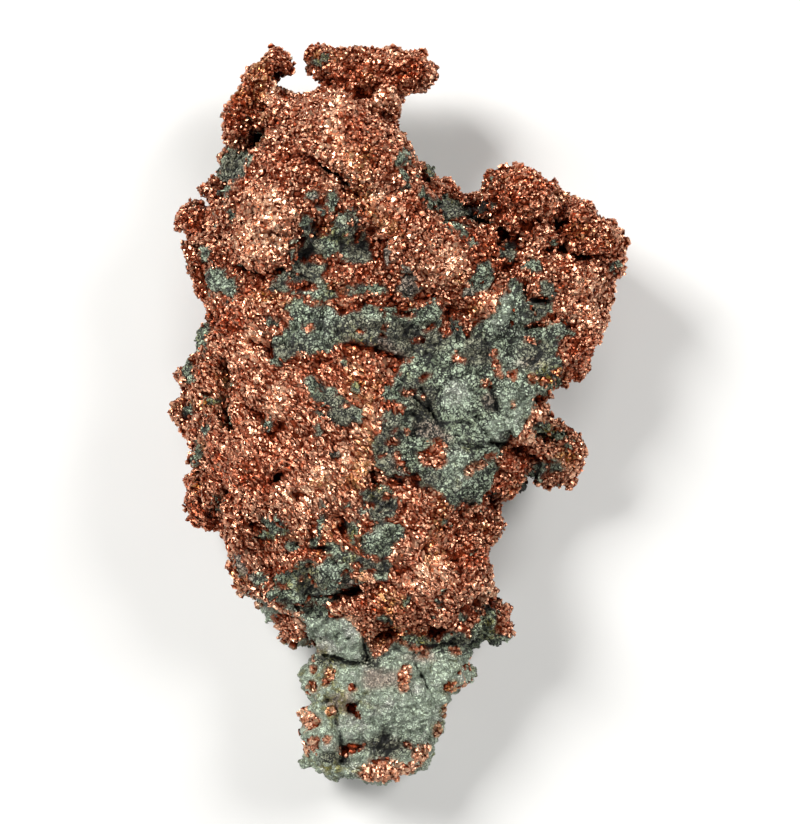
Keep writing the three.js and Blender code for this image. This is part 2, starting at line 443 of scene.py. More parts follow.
SEAMS = (
    # Top: the fold, the slab with its lobe, and the finger
    Seam(((-12.6, 33.0), (-9.4, 31.2), (-7.0, 29.0), (-5.6, 26.6)), 2.0, 1.2),
    Seam(((-14.3, 34.3), (-12.0, 33.8), (-10.0, 32.6), (-8.2, 31.4)), 0.6, -2.4),
    Seam(((-8.2, 31.4), (-6.6, 30.0), (-5.2, 28.4), (-4.4, 26.6)), 0.45, -1.2),
    Seam(((-12.2, 35.2), (-9.0, 33.8), (-6.4, 32.4), (-4.2, 30.8)), 1.1, 1.5),
    Seam(((-6.9, 44.6), (-5.6, 43.6), (-4.7, 42.8), (-3.5, 41.6), (-2.5, 41.2), (-0.6, 41.0)), 0.55, -2.6),
    Seam(((-1.6, 46.0), (0.6, 46.6), (2.6, 47.4), (4.8, 47.7)), 0.42, -1.3),
    Seam(((-11.8, 46.4), (-9.4, 46.2), (-7.4, 46.6)), 0.5, -0.9),
    Seam(((-20.9, 40.6), (-21.1, 38.6), (-21.0, 37.2)), 0.6, -3.2),
    Seam(((-20.2, 41.2), (-20.4, 43.5), (-20.6, 45.8)), 0.45, -0.9),
    Seam(((-24.8, 36.9), (-23.2, 36.3), (-21.6, 36.8)), 0.4, -1.5),
    Seam(((-17.4, 35.4), (-18.6, 37.2), (-19.4, 38.8)), 0.45, -1.2),
    Seam(((-6.0, 43.4), (-5.3, 41.4), (-6.4, 39.4)), 0.4, -0.9),
    Seam(((-10.8, 41.8), (-9.8, 39.4), (-10.6, 37.4)), 0.5, 0.7),
    Seam(((-8.8, 43.2), (-6.9, 42.4), (-6.3, 40.8)), 0.6, 0.8),
    Seam(((-3.0, 28.0), (2.0, 23.0), (6.0, 18.5), (10.0, 14.5)), 2.8, 1.4),
    # Left: the round lobe and the knobs along the side
    Seam(((-22.8, 29.4), (-23.1, 26.6), (-22.8, 24.4)), 0.5, -1.6),
    Seam(((-22.6, 19.0), (-19.6, 18.2), (-16.4, 18.6)), 0.5, -1.6),
    Seam(((-13.8, 19.4), (-13.2, 22.6), (-12.4, 25.8)), 0.6, -1.0),
    Seam(((-30.2, 22.7), (-27.6, 22.9), (-25.4, 23.6)), 0.5, -1.8),
    Seam(((-28.2, 30.1), (-26.2, 28.7), (-24.6, 28.6)), 0.5, -1.5),
    Seam(((-24.6, 7.4), (-25.1, 4.8), (-24.7, 2.4), (-25.1, 0.2), (-24.2, -1.4)), 0.75, -2.6),
    Seam(((-30.6, 3.2), (-27.6, 2.9), (-26.0, 3.1)), 0.4, -1.4),
    Seam(((-29.4, 7.5), (-27.0, 7.5), (-25.4, 7.2)), 0.4, -1.3),
    Seam(((-26.6, 13.2), (-26.0, 10.0), (-26.4, 8.0)), 0.4, -1.2),
    Seam(((-27.6, -4.0), (-27.0, -7.2)), 0.4, -1.0),
    Seam(((-28.6, -8.3), (-26.4, -9.2), (-25.7, -11.0), (-26.4, -13.2), (-26.8, -15.4)), 0.5, -1.8),
    Seam(((-25.0, -11.2), (-24.2, -12.4)), 0.6, -1.2),
    # Broad left side: slanting furrows
    Seam(((-23.6, -1.4), (-20.6, -4.2), (-18.0, -6.0)), 0.4, -0.8),
    Seam(((-24.2, -6.4), (-21.0, -9.6), (-18.4, -11.4)), 0.4, -0.9),
    Seam(((-22.2, 1.6), (-18.8, -1.6)), 0.4, -0.6),
    Seam(((-23.6, 12.0), (-20.6, 9.4), (-17.8, 8.4)), 0.4, -0.6),
    Seam(((-23.0, -13.4), (-20.4, -16.4)), 0.4, -0.9),
    Seam(((-20.6, -8.2), (-18.8, -9.2), (-17.0, -9.5)), 0.7, -1.2),
    Seam(((-18.4, -13.2), (-16.8, -13.8), (-15.0, -14.9)), 0.4, -1.5),
    Seam(((-12.2, -13.2), (-11.6, -15.4), (-11.9, -17.6)), 0.4, -0.9),
    Seam(((-20.0, -20.2), (-18.8, -22.0)), 0.45, -1.4),
    Seam(((-14.6, -18.6), (-12.2, -19.0), (-9.8, -18.8)), 0.45, -1.0),
    # Waist: the crevice above the copper shelf, the lens-shaped stone and the smooth ridge
    Seam(((-14.0, -27.4), (-12.0, -26.4), (-9.8, -25.7), (-7.2, -25.2), (-5.4, -24.6)), 0.45, -2.2),
    Seam(((-5.4, -24.6), (-3.0, -24.0), (0.0, -23.4)), 0.4, -1.2),
    Seam(((-12.7, -21.9), (-12.2, -24.7)), 1.3, -2.0),
    Seam(((-12.9, -21.0), (-14.2, -22.6), (-14.4, -24.4), (-13.4, -26.2)), 0.5, 0.7),
    Seam(((-9.6, -20.0), (-8.0, -21.8), (-6.4, -23.2)), 0.35, -1.1),
    Seam(((-0.8, -19.0), (1.4, -17.9), (5.4, -17.0)), 0.6, 1.0),
    Seam(((0.2, -19.6), (2.6, -19.0), (5.4, -19.0)), 1.4, 0.9),
    Seam(((9.7, -18.7), (11.4, -17.9), (12.8, -17.3)), 0.45, -1.6),
    # Right shoulder: knobs, recesses and gaps
    Seam(((12.4, 28.4), (15.2, 26.4), (18.4, 25.6), (20.8, 26.2)), 0.8, -1.3),
    Seam(((20.4, 21.8), (23.4, 21.4), (26.4, 20.7), (29.4, 20.2), (31.6, 19.8)), 0.8, -2.2),
    Seam(((22.5, 31.2), (22.6, 28.0), (21.8, 25.0)), 0.7, -2.2),
    Seam(((28.8, 27.0), (26.4, 26.2), (24.2, 25.4), (22.4, 24.4)), 0.6, -1.9),
    Seam(((11.8, 31.6), (13.6, 30.6), (14.8, 32.4), (14.0, 34.4)), 0.45, -1.0),
    Seam(((17.6, 29.2), (19.2, 30.6), (20.2, 33.4)), 0.5, -0.7),
    Seam(((5.2, 27.6), (7.0, 26.6), (9.8, 26.9)), 0.45, -1.4),
    Seam(((9.9, 29.4), (11.2, 27.2)), 0.5, -0.9),
    Seam(((4.9, 31.0), (6.4, 30.2), (8.8, 29.7)), 0.4, -0.9),
    Seam(((16.9, 17.0), (17.4, 15.4), (18.6, 15.2), (20.8, 15.1)), 0.4, -2.0),
    Seam(((18.2, 15.2), (18.4, 14.2), (19.0, 13.4)), 0.35, -1.6),
    Seam(((17.2, 11.2), (18.6, 11.5), (19.6, 11.3), (20.6, 12.2)), 0.4, -1.8),
    Seam(((7.5, 12.9), (8.9, 11.2), (9.3, 10.0)), 0.35, -0.9),
    Seam(((6.4, 13.4), (7.1, 11.2), (7.8, 9.6)), 0.35, -1.1),
    # Small lobe on the right
    Seam(((15.8, -1.8), (18.6, -4.2), (21.4, -6.0), (23.4, -8.0)), 0.8, 1.2),
    Seam(((16.4, -5.2), (18.2, -6.2), (19.4, -7.6)), 0.6, -1.8),
    Seam(((18.8, -2.0), (20.0, -3.0), (21.4, -3.6)), 0.4, -1.0),
    # Stone: cracks
    Seam(((0.8, 4.4), (2.2, 2.8), (3.0, 1.4), (4.2, 0.2), (4.9, -0.4)), 0.3, -1.2),
    Seam(((3.0, 3.4), (4.0, 1.8), (4.5, 0.4)), 0.3, -1.0),
    Seam(((4.9, -0.4), (5.6, -1.6), (7.0, -2.6), (8.6, -3.2), (9.2, -4.4)), 0.3, -1.0),
    Seam(((5.6, -1.2), (8.0, -1.4), (10.0, -1.8)), 0.3, -0.8),
    Seam(((10.6, -0.6), (11.6, -2.6), (13.2, -4.4), (14.8, -4.8)), 0.3, -1.0),
    Seam(((12.4, 3.0), (13.2, 1.2), (13.9, 0.0)), 0.4, -1.1),
    Seam(((9.8, -5.0), (12.2, -4.8), (14.6, -4.7)), 0.3, -0.9),
    Seam(((14.9, 10.6), (15.6, 12.8), (15.2, 15.0)), 0.3, -0.8),
    Seam(((-16.2, 7.2), (-12.8, 7.0), (-9.6, 7.4)), 0.35, -0.9),
    Seam(((-7.6, 9.2), (-3.6, 8.4), (-0.4, 7.4)), 0.35, -0.6),
    # Foot: the joints between its blocks
    Seam(((-13.4, -34.5), (-10.6, -34.8), (-7.4, -35.8), (-4.8, -35.2)), 0.5, -1.5),
    Seam(((-4.9, -30.4), (-4.8, -33.0), (-4.4, -35.0)), 0.5, -1.5),
    Seam(((2.2, -35.4), (3.6, -37.4), (5.0, -39.6)), 0.4, -0.9),
    Seam(((-0.4, -33.6), (2.2, -34.6), (5.8, -33.2)), 0.45, -0.9),
    Seam(((5.2, -40.4), (5.6, -43.4)), 0.35, -0.6),
    Seam(((-8.8, -41.6), (-8.6, -45.0), (-7.6, -48.6)), 0.5, -1.0),
    Seam(((-4.8, -45.4), (-1.0, -46.2), (1.6, -45.2), (4.8, -45.2)), 0.4, -0.3),
    Seam(((-8.4, -49.4), (-6.2, -50.6)), 0.5, -1.0),
    Seam(((6.0, -33.0), (8.6, -32.4), (10.2, -33.0)), 0.5, -1.3),
    Seam(((-13.6, -40.6), (-11.0, -41.0), (-9.4, -40.4)), 0.45, -0.9),
)

SWELLS = (
    Swell(-7.0, 47.9, 0.5, -1.2),
    Swell(-17.6, 36.2, 0.8, -2.4),
    Swell(-18.0, 29.2, 0.6, -1.1),
    Swell(-16.6, 27.0, 0.5, -1.2),
    Swell(-7.2, 38.2, 1.5, -0.9),
    Swell(-2.2, 43.5, 2.0, 1.0),
    Swell(-6.0, 45.8, 1.8, 1.0),
    Swell(17.0, 30.6, 3.4, 1.2),
    Swell(25.2, 28.0, 1.7, 1.0),
    Swell(28.4, 24.0, 2.4, 1.4),
    Swell(-18.0, 24.6, 3.8, 1.5),
    Swell(-20.0, 29.6, 1.8, 0.5),
    Swell(-5.4, 25.4, 2.2, 1.2),
    Swell(-12.4, 21.4, 1.8, -1.1),
    Swell(-13.2, 18.4, 2.0, -0.8),
    Swell(-22.0, 18.8, 0.9, -1.1),
    Swell(-19.4, 17.2, 1.1, -0.9),
    Swell(-24.6, 17.6, 2.0, 0.5),
    Swell(-12.2, 10.6, 2.8, 0.6),
    Swell(-30.0, 0.0, 0.9, -1.7),
    Swell(-16.5, -8.6, 0.75, -2.4),
    Swell(-20.0, -7.9, 0.5, -0.9),
    Swell(14.0, 26.3, 1.1, -3.0),
    Swell(23.4, 22.7, 1.4, -3.0),
    Swell(25.4, 24.0, 1.6, 0.9),
    Swell(7.5, 27.2, 1.9, -1.0),
    Swell(-11.4, -23.6, 3.2, 1.9),
    Swell(-12.7, -23.6, 1.2, 0.5),
    Swell(8.6, 3.0, 3.4, 0.8),
    Swell(16.6, 3.8, 2.2, 0.9),
    Swell(13.0, -2.0, 1.8, 0.6),
    Swell(8.6, -8.4, 3.0, 0.8),
    Swell(16.0, 12.6, 2.4, 0.6),
    Swell(-7.6, -31.8, 2.6, 1.2),
    Swell(-11.6, -30.0, 1.8, 0.7),
    Swell(-11.6, -46.4, 2.6, 1.1),
    Swell(-1.6, -42.2, 3.4, 0.8),
    Swell(6.4, -37.6, 2.6, 1.0),
    Swell(-10.8, -38.6, 2.2, 0.6),
    Swell(-2.4, -47.6, 2.6, -1.1),
    Swell(-1.4, -50.8, 3.4, 0.5),
    Swell(12.2, -29.8, 1.8, 0.9),
)

ROCK_ZONES = (
    # The great patch in the middle, with its arm to the left
    Zone((
        (15.0, 18.4), (16.4, 17.6), (17.4, 15.6), (20.8, 15.0), (20.4, 13.4), (18.4, 12.2), (20.2, 12.2),
        (21.6, 12.7), (23.0, 11.7), (24.0, 10.6), (21.6, 9.8), (21.6, 8.0), (22.8, 6.4), (22.4, 3.6),
        (19.4, 2.4), (18.2, 0.2), (16.4, -2.0), (15.2, -4.4), (13.4, -6.4), (13.6, -7.8), (12.4, -10.6),
        (10.8, -12.4), (8.2, -13.2), (6.0, -12.2), (4.8, -10.2), (2.8, -10.2), (3.4, -8.2), (1.2, -8.4),
        (-1.4, -9.4), (-3.2, -8.0), (-3.6, -4.2), (-2.6, -1.4), (-2.4, -0.2), (0.8, 0.8), (-0.6, 1.8),
        (-3.2, 2.6), (-2.6, 3.9), (0.4, 4.5), (1.2, 6.2), (0.6, 7.6), (-2.6, 8.2), (-5.2, 9.5), (-8.0, 9.2),
        (-10.2, 7.6), (-15.5, 7.3), (-17.2, 9.2), (-15.4, 11.2), (-14.8, 12.6), (-16.0, 14.8), (-14.2, 15.4),
        (-11.6, 14.4), (-9.4, 13.8), (-7.6, 12.9), (-5.4, 13.6), (-4.6, 15.6), (-3.0, 14.8), (0.6, 14.0),
        (4.2, 14.9), (5.6, 13.6), (5.4, 11.6), (6.6, 10.4), (7.0, 12.8), (8.6, 12.2), (9.2, 10.4),
        (11.4, 12.2), (13.0, 13.8), (13.2, 15.6), (14.8, 16.0),
    )),
    # The dark hollow beside the round lobe
    Zone((
        (-14.8, 21.6), (-13.2, 23.0), (-12.8, 25.8), (-11.4, 25.6), (-10.8, 23.4), (-9.4, 24.4), (-8.0, 26.8),
        (-6.8, 27.2), (-5.4, 25.4), (-4.0, 22.8), (-3.8, 20.4), (-4.8, 19.4), (-7.2, 20.6), (-8.4, 22.4),
        (-9.8, 20.8), (-10.2, 18.0), (-9.2, 15.4), (-11.2, 15.8), (-14.8, 16.2), (-17.6, 16.4), (-17.2, 18.8),
        (-15.2, 18.6), (-15.0, 20.2),
    )),
    # The grey-green stone above the crevice
    Zone((
        (-17.0, -22.8), (-15.4, -21.4), (-12.4, -20.8), (-9.6, -19.4), (-7.6, -21.6), (-5.2, -23.4),
        (-5.4, -24.6), (-9.6, -25.6), (-13.4, -27.6), (-18.6, -28.2), (-22.0, -26.0), (-22.2, -24.8),
        (-19.2, -24.8),
    )),
)

ROCK_PATCHES = (
    Patch(-12.6, -23.5, 2.8, 3.4, 10.0),
    Patch(-22.9, 34.3, 2.8, 2.7),
    Patch(-24.0, 30.5, 0.9, 0.6),
    Patch(-22.9, 26.4, 0.4, 1.2),
    Patch(-24.5, 17.7, 3.0, 1.7, -25.0),
    Patch(-27.4, 21.8, 0.9, 0.7),
    Patch(-11.2, 28.8, 0.8, 0.7),
    Patch(-8.6, 27.4, 0.5, 1.3),
    Patch(-10.4, 26.6, 1.0, 0.5),
    Patch(-1.8, 21.2, 0.8, 1.5),
    Patch(-4.4, 16.4, 2.6, 0.9),
    Patch(1.4, 18.2, 1.2, 2.4),
    Patch(-9.8, 15.8, 1.2, 0.8),
    Patch(-17.6, 12.2, 0.8, 0.8),
    Patch(-16.6, 6.9, 0.6, 0.5),
    Patch(-7.8, 6.6, 0.7, 0.5),
    Patch(7.6, 27.8, 2.6, 1.5, -8.0),
    Patch(7.2, 25.2, 2.2, 1.2, -35.0),
    Patch(3.6, 28.4, 1.5, 0.7, -35.0),
    Patch(1.0, 30.6, 0.5, 1.2, 20.0),
    Patch(0.5, 33.8, 0.6, 1.4, -25.0),
    Patch(3.9, 33.4, 0.6, 0.9),
    Patch(11.0, 18.2, 1.2, 1.9, -12.0),
    Patch(9.3, 16.3, 1.1, 0.5, 25.0),
    Patch(14.4, 22.2, 1.5, 1.1, -25.0),
    Patch(17.9, 20.4, 1.1, 0.7),
    Patch(20.4, 16.6, 1.3, 1.0),
    Patch(10.2, 22.8, 0.8, 0.8),
    Patch(21.0, 23.0, 1.0, 0.5),
    Patch(30.2, 20.4, 1.0, 0.5),
    Patch(-11.9, 3.2, 1.3, 1.1, -30.0),
    Patch(-10.2, 2.2, 1.9, 1.4, -30.0),
    Patch(-8.4, 1.2, 1.9, 1.3, -35.0),
    Patch(-6.8, -0.2, 1.7, 1.2, -30.0),
    Patch(-8.8, -0.9, 1.5, 1.0),
    Patch(-10.7, -0.6, 0.9, 1.0),
    Patch(-10.8, -3.0, 0.5, 1.4, 5.0),
    Patch(-6.1, 3.3, 0.8, 0.7),
    Patch(-9.2, 3.2, 0.7, 0.5),
    Patch(-18.0, -1.9, 0.9, 0.7),
    Patch(-8.9, -5.4, 0.8, 0.5),
    Patch(-2.6, -12.4, 2.6, 2.6, 10.0),
    Patch(-5.0, -13.8, 1.4, 0.8),
    Patch(-7.2, -13.2, 1.0, 0.6, -40.0),
    Patch(-1.8, -15.8, 1.8, 1.5),
    Patch(-6.4, -16.6, 1.0, 1.6),
    Patch(-3.2, -18.2, 1.8, 1.4),
    Patch(-9.2, -18.4, 1.3, 0.7),
    Patch(-5.6, -20.6, 3.4, 1.5, -22.0),
    Patch(-2.6, -21.6, 1.6, 2.0),
    Patch(-0.8, -3.6, 0.8, 0.8),
    Patch(-16.8, -15.4, 1.9, 1.6, -20.0),
    Patch(-18.2, -17.2, 1.4, 0.9),
    Patch(-14.7, -18.2, 1.1, 0.9),
    Patch(-11.3, -15.6, 0.7, 2.4, -12.0),
    Patch(-22.2, -21.6, 1.6, 1.2, -50.0),
    Patch(-19.6, -23.2, 1.4, 1.0, -30.0),
    Patch(11.9, -29.8, 1.6, 2.2),
    Patch(19.9, -2.6, 1.4, 1.0),
    Patch(22.0, -3.6, 1.2, 0.9),
    Patch(23.6, -5.0, 0.9, 0.8),
    Patch(19.5, -8.2, 1.2, 1.3),
    Patch(22.4, -7.6, 0.9, 0.7),
    Patch(-29.7, 5.8, 1.1, 1.3),
    Patch(-28.1, 10.3, 1.1, 2.1),
    Patch(-28.8, -5.4, 0.9, 2.4, -12.0),
    Patch(-29.9, 0.0, 0.9, 1.1),
    Patch(-26.4, 1.8, 1.2, 0.5),
    Patch(-26.2, -13.4, 0.7, 1.4),
    Patch(-27.0, -2.6, 0.5, 0.8),
    Patch(6.4, -15.2, 0.9, 0.5),
    Patch(8.4, -28.6, 0.7, 0.5),
    Patch(1.3, -25.7, 0.7, 0.6),
    Patch(5.5, -25.6, 0.45, 0.9),
    Patch(-2.2, -28.5, 0.9, 0.6),
    Patch(4.6, -28.4, 0.7, 0.5),
    Patch(2.2, -31.6, 2.2, 0.7, -20.0),
    Patch(-11.6, 49.2, 1.3, 0.6),
)

COPPER_ISLANDS = (
    Patch(-5.6, 23.6, 1.1, 0.5, 40.0),
    Patch(-6.6, 25.2, 0.5, 0.4),
    Patch(-12.9, 20.4, 0.8, 0.5),
    Patch(-13.4, 24.2, 0.4, 0.6),
    Patch(-14.6, 17.4, 0.8, 0.35, -15.0),
    Patch(-0.9, -4.2, 0.9, 0.5, -35.0),
    Patch(-2.2, -6.0, 0.6, 0.35),
    Patch(0.6, -2.6, 0.7, 0.35, -20.0),
    Patch(-2.0, -11.6, 0.9, 0.45, 35.0),
    Patch(-3.9, -13.0, 0.5, 0.6),
    Patch(-1.4, -14.3, 0.8, 0.4),
    Patch(-3.6, -19.6, 0.9, 0.4, -25.0),
    Patch(-6.2, -20.9, 0.9, 0.45, -25.0),
    Patch(-4.2, -22.2, 0.7, 0.35),
    Patch(-2.2, 10.2, 0.5, 0.4),
    Patch(3.9, 11.6, 0.6, 0.35),
    Patch(-9.4, 0.4, 0.5, 0.3),
    Patch(-7.4, 0.9, 0.4, 0.3),
    Patch(-10.6, 1.2, 0.5, 0.3, -30.0),
    Patch(-12.4, 11.3, 0.9, 0.4),
    Patch(-11.2, 20.6, 1.3, 0.6),
    Patch(-12.8, 17.0, 1.6, 0.6),
    Patch(-10.7, 24.6, 0.8, 0.6),
    Patch(-11.6, 14.8, 1.2, 0.4, -25.0),
    Patch(-5.0, 11.2, 0.4, 0.3),
    Patch(-1.6, 11.8, 0.6, 0.4, 40.0),
    Patch(-2.0, 13.8, 0.4, 0.6),
    Patch(0.6, 13.4, 1.0, 0.4),
    Patch(2.8, 10.0, 1.0, 0.4),
    Patch(8.0, 7.3, 0.9, 0.6),
    Patch(13.2, 6.6, 0.7, 1.7, 15.0),
    Patch(13.2, 8.4, 0.5, 0.6),
    Patch(15.6, 5.4, 0.9, 0.6),
    Patch(17.8, 9.6, 0.9, 0.4),
    Patch(12.0, 3.8, 0.5, 0.7),
    Patch(3.6, 4.6, 0.8, 0.4, 35.0),
    Patch(1.0, 2.6, 0.7, 0.4),
    Patch(2.9, 2.2, 0.3, 0.3),
    Patch(15.8, 1.4, 0.4, 0.4),
    Patch(20.2, 4.4, 0.9, 0.6),
    Patch(18.6, 5.0, 0.5, 0.7),
    Patch(21.4, 5.6, 0.6, 0.4),
    Patch(19.0, 1.9, 0.8, 0.6),
    Patch(4.6, -6.2, 2.2, 1.2, -15.0),
    Patch(5.2, -4.6, 1.2, 0.4, -20.0),
    Patch(10.3, -7.6, 1.6, 0.45, 40.0),
    Patch(12.4, -6.0, 1.0, 0.5),
    Patch(0.6, -7.4, 1.0, 0.4, -30.0),
    Patch(-0.2, -6.0, 0.5, 0.6),
    Patch(1.6, -9.2, 1.0, 0.4),
    Patch(-1.2, -2.6, 0.4, 0.3),
    Patch(-13.6, -23.0, 0.3, 0.3),
    Patch(-17.4, -26.8, 1.6, 0.6, -10.0),
    Patch(-19.8, -25.6, 0.9, 0.4),
    Patch(-16.4, -24.0, 0.7, 0.5),
)

# The stony foot begins below this line, and holds these specks of copper.
FOOT_LINE = (
    (-13.8, -27.8), (-10.2, -26.4), (-9.4, -28.0), (-7.0, -28.5), (-6.0, -29.8), (-4.9, -31.4), (-3.6, -34.2),
    (-2.0, -33.4), (-0.6, -31.4), (1.4, -33.0), (4.4, -33.0), (6.0, -30.8), (8.6, -30.4), (10.6, -31.4),
)
FOOT_SPECKS = (
    Patch(-15.8, -30.4, 2.5, 2.6),
    Patch(-12.3, -36.2, 0.6, 0.7),
    Patch(-9.7, -36.7, 0.7, 1.1),
    Patch(-12.0, -38.7, 0.6, 0.9),
    Patch(-10.3, -38.2, 0.4, 0.4),
    Patch(-6.6, -39.1, 0.6, 0.5),
    Patch(0.3, -37.3, 0.8, 1.5),
    Patch(6.8, -38.5, 0.9, 1.0),
    Patch(-12.8, -43.5, 2.0, 1.1, 15.0),
    Patch(-7.0, -41.7, 0.9, 0.8),
    Patch(-5.8, -42.5, 0.5, 0.6),
    Patch(-9.4, -41.9, 0.6, 0.5),
    Patch(-7.0, -47.4, 1.7, 0.7, 10.0),
    Patch(0.8, -47.2, 0.5, 0.8),
    Patch(-12.3, -46.8, 0.6, 0.8),
    Patch(-10.0, -46.4, 0.6, 0.5),
    Patch(2.5, -48.7, 1.2, 1.2),
    Patch(-1.5, -51.0, 4.6, 1.3),
    Patch(-2.6, -49.2, 1.9, 0.5),
    Patch(6.5, -43.4, 0.5, 0.8),
    Patch(5.4, -45.8, 0.5, 0.9),
    Patch(-13.2, -48.6, 0.4, 0.9),
    Patch(8.2, -33.6, 0.9, 0.4),
    Patch(-12.2, -33.2, 1.0, 0.6),
    Patch(3.4, -33.8, 0.7, 0.5),
)

# Paler spots: on the rock, chalky whitish stone; on the copper, paler grains with a painted highlight over
# the brighter ridges and lobes.
PALE_AND_HIGHLIGHT_SPOTS = (
    Patch(-18.0, 24.4, 4.4, 5.4),
    Patch(-8.8, 39.6, 2.0, 4.0, -15.0),
    Patch(-2.2, 43.6, 1.8, 1.6),
    Patch(-7.4, 33.2, 4.2, 1.5, -28.0),
    Patch(-9.6, 30.2, 1.3, 0.9),
    Patch(-1.4, 26.6, 2.2, 3.4, 25.0),
    Patch(5.4, 20.0, 3.6, 2.8),
    Patch(-19.8, 9.6, 1.8, 3.0, -10.0),
    Patch(-16.4, 1.4, 1.8, 2.8, -30.0),
    Patch(-13.4, -11.4, 3.4, 2.4),
    Patch(-10.4, -8.4, 2.4, 1.8),
    Patch(-6.6, -6.8, 2.0, 2.6),
    Patch(-0.6, 22.4, 1.6, 2.4),
    Patch(-4.4, -1.6, 2.0, 3.4),
    Patch(-4.2, 5.8, 3.4, 1.4),
    Patch(-6.0, 1.8, 1.6, 1.2),
    Patch(2.0, -18.0, 3.4, 0.7, 20.0),
    Patch(19.4, -4.8, 4.4, 0.9, -35.0),
    Patch(26.2, 16.8, 2.6, 4.6, -15.0),
    Patch(5.0, -22.2, 4.6, 1.7, 12.0),
    Patch(10.8, -25.0, 1.8, 2.0),
    Patch(-17.4, 44.8, 1.6, 2.6),
    Patch(16.4, 2.6, 3.4, 5.8),
    Patch(8.0, 2.2, 2.8, 2.4),
    Patch(13.2, -2.2, 1.8, 2.4),
    Patch(16.2, 9.6, 1.0, 3.2),
    Patch(13.6, 14.2, 2.8, 3.2),
    Patch(-11.8, 10.2, 2.4, 1.0),
    Patch(-9.6, 12.6, 1.6, 0.6, -12.0),
    Patch(21.2, 12.0, 0.9, 0.9),
    Patch(7.8, -8.2, 3.2, 3.0),
    Patch(-24.8, 17.8, 2.2, 1.0, -25.0),
    Patch(-25.2, 34.0, 0.8, 2.0),
    Patch(-8.2, -30.0, 3.4, 2.8, -12.0),
    Patch(-12.8, -23.7, 2.4, 3.3, 10.0),
    Patch(-9.4, -21.8, 2.4, 1.2, -30.0),
    Patch(-9.0, -23.6, 1.6, 0.9, -30.0),
    Patch(-11.4, -46.4, 3.0, 4.6),
    Patch(-3.0, -41.6, 3.6, 2.6),
    Patch(6.4, -41.4, 1.4, 2.4),
    Patch(7.0, -35.6, 2.6, 1.8),
    Patch(-6.0, -36.6, 4.4, 0.9),
    Patch(-13.8, -38.0, 1.2, 1.6),
    Patch(-10.4, -50.2, 3.0, 1.2),
    Patch(2.4, -37.0, 2.0, 1.4),
    Patch(3.6, -46.8, 1.4, 1.0),
    Patch(9.6, -34.6, 0.9, 0.8),
)

# Red-brown spots on the copper: partly a warmer tone, partly painted shade in the shadowed zones under the
# knobs, the fold and the slab.
RUDDY_AND_SHADE_SPOTS = (
    Patch(0.4, 26.6, 2.4, 1.4, 20.0),
    Patch(-7.0, 38.2, 2.6, 1.4, -30.0),
    Patch(-13.6, 33.8, 3.2, 1.0, -12.0),
    Patch(-8.4, 47.0, 4.0, 1.4),
    Patch(1.4, 47.2, 3.4, 0.9, 15.0),
    Patch(17.2, 32.0, 4.0, 1.8),
    Patch(14.6, 28.2, 2.8, 2.4),
    Patch(23.6, 25.4, 1.8, 3.4),
    Patch(26.4, 21.8, 3.0, 1.4),
    Patch(12.0, 21.4, 1.8, 2.4, -30.0),
    Patch(-22.8, 43.4, 1.6, 4.4, -20.0),
    Patch(-28.6, 27.4, 3.0, 2.6),
    Patch(-26.6, 20.6, 2.4, 1.6),
    Patch(-23.8, 12.4, 3.0, 2.4),
    Patch(-20.4, 16.6, 2.2, 1.4),
    Patch(-24.4, -8.0, 2.0, 6.0, 15.0),
    Patch(-28.6, -12.4, 1.6, 3.6, 10.0),
    Patch(-18.4, -9.4, 4.0, 1.8, -12.0),
    Patch(-12.6, -19.6, 3.4, 1.0),
    Patch(25.2, 7.6, 2.4, 3.4, -20.0),
    Patch(-3.4, -26.8, 5.0, 1.2, -8.0),
    Patch(9.2, -20.0, 3.0, 1.4),
    Patch(16.8, -6.6, 2.8, 1.8, -25.0),
    Patch(14.6, -11.4, 1.8, 2.0),
    Patch(-4.6, 4.8, 5.0, 1.0, -6.0),
    Patch(-2.4, 1.4, 2.4, 0.8, -15.0),
    Patch(-13.6, 16.8, 2.0, 0.9),
    Patch(-6.8, 13.8, 1.4, 1.0),
    Patch(4.0, -30.8, 4.0, 1.0, -8.0),
    Patch(-15.6, -30.6, 2.4, 2.4),
)

# Where the stone is a hazy pinkish grey.
HAZE_SPOTS = (
    Patch(1.4, 18.2, 1.6, 2.4),
    Patch(-2.0, 21.2, 1.3, 2.0),
    Patch(4.4, -2.6, 2.8, 1.2, -28.0),
    Patch(-1.0, 7.4, 2.0, 1.2),
    Patch(-4.4, 9.0, 3.6, 0.9),
    Patch(-8.9, -5.4, 1.2, 0.8),
    Patch(12.4, 1.4, 1.2, 0.9),
    Patch(18.2, 6.8, 1.9, 0.6),
    Patch(9.3, 16.3, 1.3, 0.6, 25.0),
    Patch(-6.0, -23.8, 1.6, 0.8, -30.0),
    Patch(0.6, -8.8, 1.2, 0.8),
    Patch(-0.2, -6.8, 0.9, 0.9),
    Patch(-22.0, -21.6, 2.4, 1.8, -45.0),
    Patch(-20.6, -25.0, 2.2, 1.0, -30.0),
    Patch(-2.8, -37.4, 2.6, 1.4),
    Patch(-8.4, -40.8, 2.2, 1.4),
    Patch(-11.8, -33.2, 2.0, 1.0),
    Patch(-9.8, 48.2, 2.2, 0.9),
    Patch(-10.6, 28.0, 1.2, 1.2),
    Patch(3.2, -34.2, 2.4, 0.7),
)

